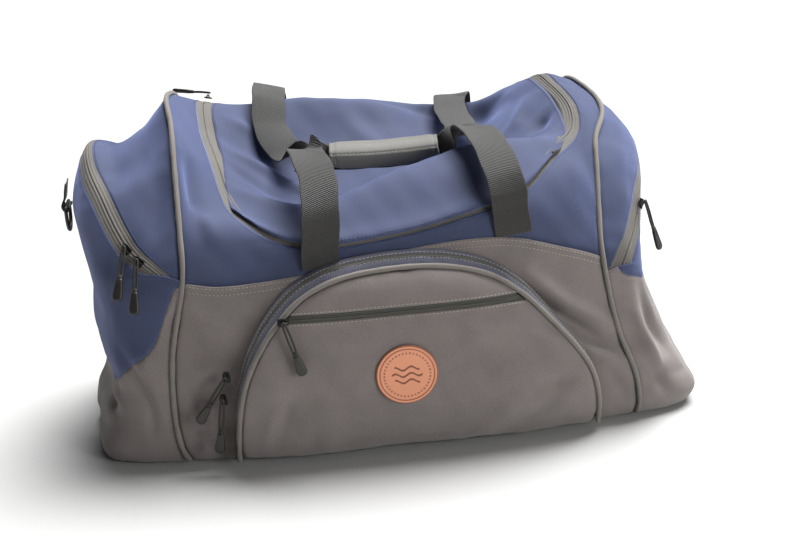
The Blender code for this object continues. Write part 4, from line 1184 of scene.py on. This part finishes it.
# %% Webbing
def band(name, stops, body, nodes, slot="black_web", count=150, width=WEB_WIDTH / MM):
    """A band of webbing along its stops, with rounded edges and a slight cup across it."""
    stops = np.array([(*c, *(np.array(w) / np.linalg.norm(w)), s) for c, w, s in stops], float)
    run = np.concatenate(([0], np.cumsum(np.linalg.norm(np.diff(stops[:, :3], axis=0), axis=1))))
    at = spread(0, run[-1], count)
    line = smooth(run, stops, at)
    centre, side, share = line[:, :3], line[:, 3:6], line[:, 6]
    tangent = np.gradient(centre, axis=0)
    tangent /= np.linalg.norm(tangent, axis=1, keepdims=True)
    side -= tangent * (side * tangent).sum(1, keepdims=True)
    side /= np.linalg.norm(side, axis=1, keepdims=True)
    face = np.cross(side, tangent)
    half, thick = 0.5, 0.5 * WEB_THICK / MM
    edge = [(math.cos(t), math.sin(t)) for t in np.radians((90, 60, 30, 0, -30, -60, -90))]
    flat = list(spread(-0.95, 0.95, 15))
    section = [(a, 1.0) for a in flat] + [(0.95 + 0.05 * c, s) for c, s in edge[1:-1]]
    section += [(a, -1.0) for a in reversed(flat)] + [(-0.95 - 0.05 * c, -s) for c, s in edge[1:-1]]
    section = np.array(section)
    cup = 0.9 * (section[:, 0] ** 2 - 0.4)
    across = section[:, 0][None, :, None] * side[:, None] * (half * width * share)[:, None, None]
    over = (section[:, 1] * thick + cup)[None, :, None] * face[:, None]
    at_edge = np.sign(section[:, 0]) * (np.abs(section[:, 0]) > 0.9)
    ripple = 0.35 * np.sin(at / 6.0)[:, None, None] * at_edge[None, :, None] * side[:, None]
    uv = np.stack(np.broadcast_arrays(section[:, 0][None] * half * width, at[:, None]), -1)
    mesh = mesh_of(name, centre[:, None] + across + over + ripple, uv, closed=True)
    # the two cut ends are closed with one face each
    ring = len(section)
    work = bmesh.new()
    work.from_mesh(mesh)
    work.verts.ensure_lookup_table()
    for start, flip in ((0, True), ((count - 1) * ring, False)):
        loop = [work.verts[start + i] for i in range(ring)]
        work.faces.new(loop[::-1] if flip else loop)
    bmesh.ops.recalc_face_normals(work, faces=work.faces)
    work.to_mesh(mesh)
    work.free()
    return place(name, mesh, WEBBING, body, slot, nodes), (centre, side, face, at)


FRONT_LEFT = [
    ((-91, -153, 205), (1, 0, 0.05), 1), (
        (-91, -156, 224.5), (1, 0, 0.1), 1,
    ), ((-89, -156, 242), (1, 0, 0.1), 1), ((-87, -147, 268), (1, 0, 0.1), 1),
    ((-86, -122, 292), (1, 0, 0.1), 1), ((-92, -84, 306), (1, 0.2, 0), 1), (
        (-93, -50, 304), (0.75, 0.65, -0.1), 1,
    ),
    (
        (-84, -36, 297), (0.3, 0.5, 0.8), 0.8,
    ), ((-66, -30, 291), (0, 0.1, 1), 0.5), ((-56, -30, 290), (0, 0.1, 1), 0.45),
]
FRONT_RIGHT = [
    ((108, -152, 222), (1, 0, 0.05), 1), ((106, -154, 236), (1, 0, 0.1), 1), (
        (104, -154, 252.5), (1, 0, 0.1), 1,
    ), ((103, -154, 268), (1, 0, 0.1), 1), ((99, -141, 290), (1, 0, 0.1), 1),
    ((94, -112, 308), (1, 0.1, 0), 1), ((88, -76, 317), (1, 0.3, 0), 1), (
        (80, -46, 313), (0.7, 0.7, -0.2), 1,
    ),
    (
        (68, -34, 299), (0.3, 0.4, 0.8), 0.8,
    ), ((52, -30, 291), (0, 0.1, 1), 0.5), ((44, -30, 290), (0, 0.1, 1), 0.45),
]
REAR = [
    ((-117, 151.6, 283.5), (1, 0, 0), 1), ((-118, 150, 310), (1, 0, 0), 1), (
        (-119, 132, 339), (0.85, -0.5, -0.1), 1,
    ), ((-122, 95, 334), (0.9, -0.4, -0.3), 1),
    ((-124, 58, 309), (1, -0.1, -0.1), 1), ((-112, 20, 290), (0.9, -0.4, 0), 1), (
        (-90, -5, 283), (0.5, -0.7, -0.4), 0.9,
    ), ((-62, -16.5, 282.8), (0, -0.55, -0.83), 0.7),
    ((-8, -17.5, 281.6), (0, -0.55, -0.83), 0.7), (
        (48, -16.5, 282.8), (0, -0.55, -0.83), 0.7,
    ), ((76, 0, 288), (-0.5, -0.7, -0.4), 0.9), ((90, 31, 294), (-0.9, -0.4, 0), 1),
    ((91, 66, 296), (-1, -0.1, 0), 1), ((90, 100, 301), (-1, 0, 0), 1), ((95, 134, 310), (-1, 0, 0), 1), (
        (104, 149, 306), (-1, 0, 0), 1,
    ), ((104, 151.4, 283.8), (-1, 0, 0), 1),
]
band(
    "front_strap_web_left", FRONT_LEFT,
    ("bag", "front_handle", (-0.091, -0.1565, 0.212), (-0.090, -0.156, 0.236)),
    ["front_web_left", "front_strap_left"],
)
band(
    "front_strap_web_right", FRONT_RIGHT,
    ("bag", "front_handle", (0.104, -0.154, 0.238), (0.103, -0.154, 0.262)),
    ["front_web_right", "front_strap_right"],
)
_, rear_run = band(
    "rear_strap_web", REAR, ("bag", "rear_handle", (0, 0.1516, 0.281), (0, 0.1408, 0.3026)), ["rear_web"],
    count=360,
)
for name, x in (("left", -117), ("right", 104)):
    rows = spread(10.02, 11.9, 40)
    outer = body_skin(np.full(40, x / HALF_BODY), rows) + np.array((0, 1.6, 0.3))
    band(
        f"back_strap_web_{name}", [(p, (1, 0, 0), 1) for p in outer], "bag", [f"back_strap_{name}"],
        count=60,
    )
print("webbing length of the rear handle:", round(rear_run[3][-1]), "mm")

# %% Padded grip
def grip():
    """A padded sleeve wrapped round the webbing: an oval with two flats, and a seam along it."""
    sides = 64
    x = spread(-66, 52, 90)
    turn = spread(0, 2 * np.pi, sides + 1)[:-1]
    c, s = np.cos(turn), np.sin(turn)
    power = 2 / 3.0
    y = np.sign(c) * np.abs(c) ** power * 15.5
    z = np.sign(s) * np.abs(s) ** power * 12.0
    t = (x + 66) / 118
    puff = 1 - 0.10 * np.exp(-((t - 0.03) / 0.03) ** 2) - 0.10 * np.exp(-((t - 0.97) / 0.03) ** 2)
    puff = puff + 0.015 * np.sin(x / 7.0)
    puff = puff * np.where((t < 0.004) | (t > 0.996), 0.9, 1)
    lean = math.radians(20)
    grid = np.empty((90, sides, 3))
    grid[..., 0] = x[:, None] + 1.0 * np.sin(turn * 2)[None]
    gy, gz = y[None] * puff[:, None], z[None] * puff[:, None]
    gz = gz - 0.8 * np.exp(-(((turn[None] - 2.35) / 0.10) ** 2))
    grid[..., 1] = -29 + gy * math.cos(lean) - gz * math.sin(lean)
    grid[..., 2] = 290 + gy * math.sin(lean) + gz * math.cos(lean) - 2.2 * np.sin(np.pi * t)[:, None]
    uv = np.stack(np.broadcast_arrays(turn[None] * 14, x[:, None]), -1)
    mesh = mesh_of("grip_sleeve", grid, uv, closed=True)
    mesh.validate()
    face_outwards(mesh, (-0.007, -0.03, 0.29))
    return grid, place(
        "grip_sleeve", mesh, GRIP_CLOTH, "front_handle", "black_web", ["grip_core", "grip_wrap"],
    )


grip_grid, grip_piece = grip()
inner = grip_piece.modifiers.new("sleeve thickness", "SOLIDIFY")
inner.thickness, inner.offset = 4.5 * MM, -1
print("grip:", [round(d * 1000) for d in grip_piece.dimensions], "mm")

# %% [markdown]
# ## Stitching
# Top-stitching runs beside the seams: stitches about 2.6 mm long with 1.4 mm between them. Each is a
# slim bead of thread whose ends dip into the cloth.

# %% Stitches
def edge_line(name, edge, distance):
    """Points and normals along a panel, at a distance from one of its edges."""
    moved, uv, normal, _ = GRIDS[name]
    if edge in "tb":
        moved, uv, normal = (values.transpose(1, 0, 2) for values in (moved, uv, normal))
        uv = uv[..., ::-1]
    found = []
    for points, run, facing in zip(moved, uv[..., 0], normal):
        at = distance if edge in "lt" else run[-1] - distance
        found.append([np.interp(at, run, values) for values in (*points.T, *facing.T)])
    found = np.array(found)
    return found[:, :3], found[:, 3:]


# A stitch's rings: how far along it, its width, and how far its middle rises, as shares.
STITCH = ((0, 0.25, -0.5), (0.2, 0.85, 0.1), (0.5, 1.0, 0.35), (0.8, 0.85, 0.1), (1, 0.25, -0.5))


def sampled(at, run, values):
    """Points or normals of a line at given distances along it."""
    return np.stack([np.interp(at, run, column) for column in values.T], 1)


def stitches(name, lines, thread, body, length=2.6, gap=1.5, radius=0.36, proud=0.15):
    """Beads of thread along lines of points with normals."""
    points_made, faces_made, count = [], [], 0
    sides = 6
    turn = spread(0, 2 * np.pi, sides + 1)[:-1]
    for points, normal in lines:
        points, normal = np.asarray(points, float), np.asarray(normal, float)
        run = np.concatenate(([0], np.cumsum(np.linalg.norm(np.diff(points, axis=0), axis=1))))
        starts = np.arange(1.0, run[-1] - length, length + gap)
        a, b = sampled(starts, run, points), sampled(starts + length, run, points)
        up = sampled(starts + length / 2, run, normal)
        up /= np.linalg.norm(up, axis=1, keepdims=True)
        ahead = (b - a) / np.linalg.norm(b - a, axis=1, keepdims=True)
        side = np.cross(ahead, up)
        rings = []
        for t, r, lift in STITCH:
            centre = a + (b - a) * t + up * (proud + lift * radius)
            rings.append(centre[:, None] + r * radius * hoops(side, up, turn))
        block = np.stack(rings, 1).reshape(len(starts), -1, 3)
        base = count + np.arange(len(starts))[:, None, None] * (len(STITCH) * sides)
        index = np.arange(len(STITCH) * sides).reshape(len(STITCH), sides)
        after = np.roll(index, -1, 1)
        quads = np.stack((index[:-1], after[:-1], after[1:], index[1:]), -1).reshape(-1, 4)
        faces_made.append((base + quads[None]).reshape(-1, 4))
        points_made.append(block.reshape(-1, 3))
        count += len(starts) * len(STITCH) * sides
    mesh = bpy.data.meshes.new(name)
    mesh.from_pydata((np.concatenate(points_made) * MM).tolist(), [], np.concatenate(faces_made).tolist())
    mesh.shade_smooth()
    place(name, mesh, THREADS[thread], body)
    return count // (len(STITCH) * sides)


made = stitches(
    "lid_stitching", [edge_line("lid_cloth", e, d) for e, d in (("l", 3), ("r", 3), ("b", 3.5))], "blue",
    LID_BLEND,
)
made += stitches("yoke_stitching", [edge_line("yoke_cloth", "t", 3)], "blue", "bag")
made += stitches("front_hem_stitching", [edge_line("front_cloth", "b", d) for d in (2.6, 8.5)], "grey", "bag")
made += stitches(
    "pocket_stitching",
    [edge_line("pocket_upper_cloth", "t", 2.2), edge_line("pocket_lower_cloth", "b", 2.2)], "grey",
    "front_pocket",
)
made += stitches(
    "gusset_stitching",
    [edge_line("pocket_gusset_front", "b", 1.6), edge_line("pocket_gusset_back", "t", 1.6)], "grey",
    "bag",
)
made += stitches("back_stitching", [edge_line("back_lower_cloth", "t", 2.6)], "grey", "bag")
for side, name in END_NAMES.items():
    made += stitches(
        f"{name}_gusset_stitching", [edge_line(f"{name}_end_gusset_cloth", "r", 2.6)], "blue", "bag",
    )
    made += stitches(
        f"{name}_flap_stitching", [edge_line(f"{name}_end_outer", "l", 2.6)], "blue", end_blend(side),
    )


seam_line = (grip_grid[3:-3, 24], np.tile((0, -0.4, 0.9), (84, 1)))
hems = [np.concatenate((grip_grid[k], grip_grid[k][:1])) for k in (4, 85)]
hem_lines = [(hem, hem - hem[:-1].mean(0)) for hem in hems]
made += stitches("grip_stitching", [seam_line] + hem_lines, "grey", "front_handle", radius=0.3)
print("stitches:", made)

# %% [markdown]
# ## Leather patch
# A round tan patch is sewn on the pocket. It is one disc on a polar grid, whose height carries a rolled rim,
# a pressed ring, a ring of small pressed dots and three pressed waves of our own design.

# %% Patch
PATCH_AT, PATCH_R = (-14.0, 97.0), 32.0  # its middle in x and z, and its radius, in mm


def patch():
    """The disc, with its pattern as height and as an attribute that darkens the leather."""
    rings, spokes = 110, 300
    flat_r = PATCH_R - 1
    r = np.concatenate((spread(0.05, flat_r, rings - 6), flat_r + np.sin(spread(0.25, 1, 6) * np.pi / 2)))
    a = spread(0, 2 * np.pi, spokes + 1)[:-1]
    rr, aa = np.meshgrid(r, a, indexing="ij")
    x, z = rr * np.cos(aa), rr * np.sin(aa)
    pressed = np.exp(-(((rr - 28.0) / 0.55) ** 2))
    dots = np.exp(-(((rr - 23.6) / 0.8) ** 2)) * np.clip(np.cos(aa * 40) * 3, 0, 1)
    waves = np.zeros_like(rr)
    for level, width in ((7.0, 13.0), (0.0, 16.0), (-7.0, 13.0)):
        line = np.abs(z - level - 1.9 * np.sin(x / 2.6))
        waves = np.maximum(waves, np.clip((1.25 - line) * 2.2, 0, 1) * np.clip((width - np.abs(x)) * 2, 0, 1))
    pressed = np.clip(pressed + dots + waves, 0, 1)
    lip = np.where(rr > 30.4, (np.clip(rr - 30.4, 0, 1.6) / 1.6) ** 2 * 1.6, 0)
    height = 2.0 - 0.55 * pressed - lip + 0.05 * np.sin(x * 0.9) * np.cos(z * 0.8)
    face = face_grid([PATCH_AT[1]], 3)[0, 1, 1]
    grid = np.stack((PATCH_AT[0] + x, face - 0.8 - height, PATCH_AT[1] + z), -1)
    mesh = mesh_of("leather_patch_disc", grid, np.stack((x, z), -1), closed=True)
    tone = mesh.attributes.new("pressed", "FLOAT", "POINT")
    tone.data.foreach_set("value", (pressed + 0.8 * (rr > 30.6)).astype(np.float32).ravel().clip(0, 1))
    face_outwards(mesh, (-0.014, -0.15, 0.097))
    piece = place("leather_patch_disc", mesh, LEATHER, "front_pocket", "tan_leather", ["leather_patch"])
    piece.modifiers.new("leather thickness", "SOLIDIFY").thickness = 1.6 * MM


leather_tree = LEATHER.node_tree
shader = leather_tree.nodes["Principled BSDF"]
base_link = shader.inputs["Base Color"].links[0].from_socket
worn = add(leather_tree, "ShaderNodeAttribute", attribute_name="pressed")
dark = add(leather_tree, "ShaderNodeMix", {"Factor": worn.outputs["Fac"], "A": base_link}, data_type="RGBA")
dark.inputs["B"].default_value = linear("#7d4630")
leather_tree.links.new(dark.outputs["Result"], shader.inputs["Base Color"])
patch()
print("patch radius:", PATCH_R, "mm")

# %% [markdown]
# ## Sliders and pulls
# Each slider is a rounded zinc plate with an arched bridge. A loop of braided cord hangs from the bridge
# and ends in a moulded tip. Every slider and pull stands where the model's joint puts it.

# %% Lofted solids
def loft(sections, powers=2.6, sides=24):
    """A grid of rounded-box sections: each is (x, half width, half height, lift)."""
    turn = spread(0, 2 * np.pi, sides + 1)[:-1]
    c, s = np.cos(turn), np.sin(turn)
    y, z = np.sign(c) * np.abs(c) ** (2 / powers), np.sign(s) * np.abs(s) ** (2 / powers)
    return np.array([np.stack((np.full(sides, x), y * w, z * h + lift), 1) for x, w, h, lift in sections])


def stand(at, x_axis, z_axis):
    """Turns local points into the bag's frame: x along x_axis, z along z_axis."""
    z_axis = np.asarray(z_axis, float) / np.linalg.norm(z_axis)
    x_axis = np.asarray(x_axis, float) - z_axis * (np.asarray(x_axis, float) @ z_axis)
    x_axis = x_axis / np.linalg.norm(x_axis)
    turn = np.stack((x_axis, np.cross(z_axis, x_axis), z_axis))
    return lambda points: np.asarray(points, float) @ turn + np.asarray(at, float)


def joined(name, grids, finish, body, slot=None, nodes=()):
    """Several closed-section grids as one piece, with their ends closed by narrowing to a point."""
    points, faces, count = [], [], 0
    for grid in grids:
        rows, columns = grid.shape[:2]
        first, last = grid[0].mean(0), grid[-1].mean(0)
        index = np.arange(rows * columns).reshape(rows, columns) + count
        after = np.roll(index, -1, 1)
        faces += np.stack((index[:-1], after[:-1], after[1:], index[1:]), -1).reshape(-1, 4).tolist()
        points += grid.reshape(-1, 3).tolist() + [first.tolist(), last.tolist()]
        count += rows * columns + 2
        faces += [(count - 2, b, a) for a, b in zip(index[0], after[0])]
        faces += [(count - 1, a, b) for a, b in zip(index[-1], after[-1])]
    mesh = bpy.data.meshes.new(name)
    mesh.from_pydata((np.array(points) * MM).tolist(), [], faces)
    work = bmesh.new()
    work.from_mesh(mesh)
    bmesh.ops.recalc_face_normals(work, faces=work.faces)
    work.to_mesh(mesh)
    work.free()
    mesh.shade_smooth()
    return place(name, mesh, finish, body, slot, nodes)


def cord_grid(points, radius, sides=12):
    """Rings of points round a cord."""
    points = np.asarray(points, float)
    tangent = np.gradient(points, axis=0)
    tangent /= np.linalg.norm(tangent, axis=1, keepdims=True)
    side = np.cross(tangent, (0, 0, 1.0))
    side /= np.maximum(np.linalg.norm(side, axis=1, keepdims=True), 1e-9)
    up = np.cross(side, tangent)
    turn = spread(0, 2 * np.pi, sides + 1)[:-1]
    return points[:, None] + radius * hoops(side, up, turn)


# Sections along a slider's plate: x, half width, half height and lift, in mm.
PLATE = (
    (-6.0, 3.0, 0.5, 0.9), (-5.6, 3.9, 0.8, 0.9), (-3, 4.4, 0.9, 0.9),
    (2, 4.3, 0.9, 0.9), (4.6, 3.2, 0.8, 0.9), (5.9, 1.8, 0.5, 0.9),
)
# The same for the knot of a pull's cord and for the moulded tip below it, with x from the tip's top.
KNOT = ((-4.5, 1.6, 1.2, 0), (-4, 2.7, 1.9, 0), (-2.2, 3.1, 2.1, 0), (-0.4, 2.7, 1.9, 0), (0, 1.6, 1.2, 0))
TIP = ((-1.0, 2.4, 1.5, 0), (-0.6, 3.0, 2.0, 0), (2, 3.5, 2.3, 0), (9, 4.5, 2.5, 0), (16, 5.4, 2.6, 0))


def slider(name, at, travel, normal, hang, length, lift=1.2):
    """A slider on its zip, and the pull that swings from it."""
    at, travel, normal, hang = (np.asarray(v, float) for v in (at, travel, normal, hang))
    fit = stand(at + normal * lift, travel, normal)
    plate = loft(PLATE, 3.2)
    bow = [(5.0 * math.cos(t), 0, 1.6 + 2.6 * math.sin(t)) for t in spread(0, math.pi, 17)]
    bow = cord_grid(np.array(bow) + 1e-6, 0.85)
    joined(
        f"{name}_slider_body", [fit(plate), fit(bow)], ZINC, f"{name}_slide", "black_metal",
        [f"{name}_slider"],
    )
    swing = stand(at + normal * (lift + 6.8), hang, normal)
    tip = length - 22.0
    strand = []
    for side in (1, -1):
        x = spread(0, tip + 3, 26)
        y = side * (1.5 + 0.5 * np.sin(np.pi * np.clip(x / tip, 0, 1)))
        strand.append(np.stack((x, y, 0.25 * np.sin(x / 5)), 1))
    turn = spread(0.5 * math.pi, 1.5 * math.pi, 13)
    loop = np.stack((1.7 * np.cos(turn), 1.5 * np.sin(turn), 0 * turn), 1)
    whole = np.concatenate((strand[0][::-1], loop[1:-1], strand[1]))
    knot = loft([(tip + x, *section) for x, *section in KNOT], 2.2)
    cord = [swing(cord_grid(whole, 1.15)), swing(knot)]
    joined(f"{name}_pull_cord", cord, CORD, f"{name}_tag", "black_plastic", [f"{name}_pull"])
    body = [(tip + x, *section) for x, *section in TIP]
    for t in spread(0.15, 1.5, 9):
        body.append((tip + 16.5 + 5.5 * math.sin(t), 5.4 * math.cos(t) ** 0.7, 2.6 * math.cos(t) ** 0.5, 0))
    grid = loft(body, 3.0, 36)
    dent = 0.7 * np.exp(-(((grid[..., 0] - tip - 13) / 4.2) ** 2) - (grid[..., 1] / 2.6) ** 2)
    grid[..., 2] -= np.sign(grid[..., 2]) * dent
    joined(f"{name}_pull_tip", [swing(grid)], PVC, f"{name}_tag", "black_plastic")


def end_slider(side, row):
    """Where a slider stands on an end pocket's zip, its direction of travel and its normal."""
    rows = np.array((row, row + 0.3))
    at, after = end_skin(side, end_zip_out(side, rows), rows)
    beside = np.array((row - 0.05, row, row + 0.05))
    around = np.stack([end_skin(side, end_zip_out(side, row) + d, beside) for d in (-0.02, 0, 0.02)])
    return at, after - at, normals_of(around)[1, 1]


lid_pair = on_body(lid_edge(np.array((0.09, 0.11))))
lid_near = np.stack([on_body(lid_edge(np.array((0.085, 0.09, 0.095)), d)) for d in (-4, 0, 4)])
slider("lid", lid_pair[0], lid_pair[1] - lid_pair[0], normals_of(lid_near)[1, 1], (-1, 0.55, 0), 46, 4.2)
slider("pocket", (-134, -187.6, 165), (1, 0, 0), (0, -1, 0), (0.28, 0, -1), 58)
slider("gusset_upper", (-194.5, -171, 106), (0, 0, 1), (-0.2425, -0.9701, 0), (-0.68, 0, -1), 58)
slider("gusset_lower", (-199.5, -171, 82), (0, 0, 1), (-0.2425, -0.9701, 0), (-0.14, 0, -1), 58)
for name, side, row in (("left_a", -1, 3.62), ("left_b", -1, 3.98), ("right", 1, 4.55)):
    slider(name, *end_slider(side, row), (0, 0, -1), 54, 2.4)

# %% [markdown]
# ## Rings, tabs and hidden parts
# A moulded D-ring hangs from a loop of webbing at each end. The inner walls and the board keep the model's
# own shape, with a finish of their own, and the base is drawn in a little under the rolled hem.

# %% D-rings and tabs
RING_HALF = 17.5  # mm
for side, name, x, z in ((-1, "left", -346.5, 252.0), (1, "right", 278.0, 214.0)):
    turns = spread(0, math.pi, 40)
    ring_x = x + side * 3.9
    bow = [(ring_x, RING_HALF * math.cos(t), z + 0.2 - 10 - RING_HALF * math.sin(t)) for t in turns]
    bar = [(ring_x, -RING_HALF + 2 * RING_HALF * t, z + 0.2) for t in spread(0.03, 0.97, 12)]
    corner = [(ring_x, -RING_HALF, z - 5), (ring_x, -17.4, z - 2)]
    far_corner = [(at_x, -at_y, at_z) for at_x, at_y, at_z in corner[::-1]]
    tube(
        f"{name}_ring_moulded", bow + corner + bar + far_corner, 2.0, PVC, f"{name}_ring",
        "black_plastic", [f"{name}_d_ring"], closed=True,
    )
    loop = [
        (0.8, 26), (2.6, 18), (4.0, 10), (6.4, 5), (7.6, 1), (6.4, -2.6), (3.6, -4.0), (1.0, -2.4),
        (0.7, 0.5),
    ]
    stops = [((x + side * a, 0, z + b), (0, 1, 0), 1) for a, b in loop]
    band(f"{name}_tab_web", stops, f"{name}_end", [f"{name}_ring_tab"], count=60, width=26)

outs = spread(0, 1, 14)
front_edge = np.concatenate((
    end_skin(-1, outs, 0.0), body_skin(spread(-0.9, 0.9, 19), 0), end_skin(1, outs, 0.0),
))
front_edge = front_edge[np.argsort(front_edge[:, 0], kind="stable")]
rear_edge = front_edge * (1, -1, 1)
front_tuck, rear_tuck = tucked(front_edge), tucked(rear_edge)
base_grid = np.stack([front_tuck + (rear_tuck - front_tuck) * t for t in spread(0.02, 0.98, 9)])
base_grid[..., 2] = 2.2  # mm above the floor
base_mesh = mesh_of("base_cloth", base_grid, base_grid[..., :2].copy())
if base_mesh.polygons[40].normal.z > 0:
    base_mesh.flip_normals()
base_piece = place("base_cloth", base_mesh, GREY, "bag", "grey_cloth", ["base_panel"])
base_piece.modifiers.new("base thickness", "SOLIDIFY").thickness = -2.0 * MM
BOARD = speckled("grey_board", "#4a4a48", 0.8, 300, 0.3)
for node, finish in (("left_bulkhead", LINING), ("right_bulkhead", LINING), ("base_board", BOARD)):
    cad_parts[node].data.materials.clear()
    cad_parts[node].data.materials.append(finish)
print("rings and base made")

# %% Floor and close
floor_mesh = bpy.data.meshes.new("floor")
floor_mesh.from_pydata(
    [(-6, -6, -0.0005), (6, -6, -0.0005), (6, 8, -0.0005), (-6, 8, -0.0005)], [], [(0, 1, 2, 3)],
)
floor = bpy.data.objects.new("floor", floor_mesh)
bpy.context.scene.collection.objects.link(floor)
floor_mesh.materials.append(blank("painted_studio_floor", "#b9b9b8", 0.8)[0])
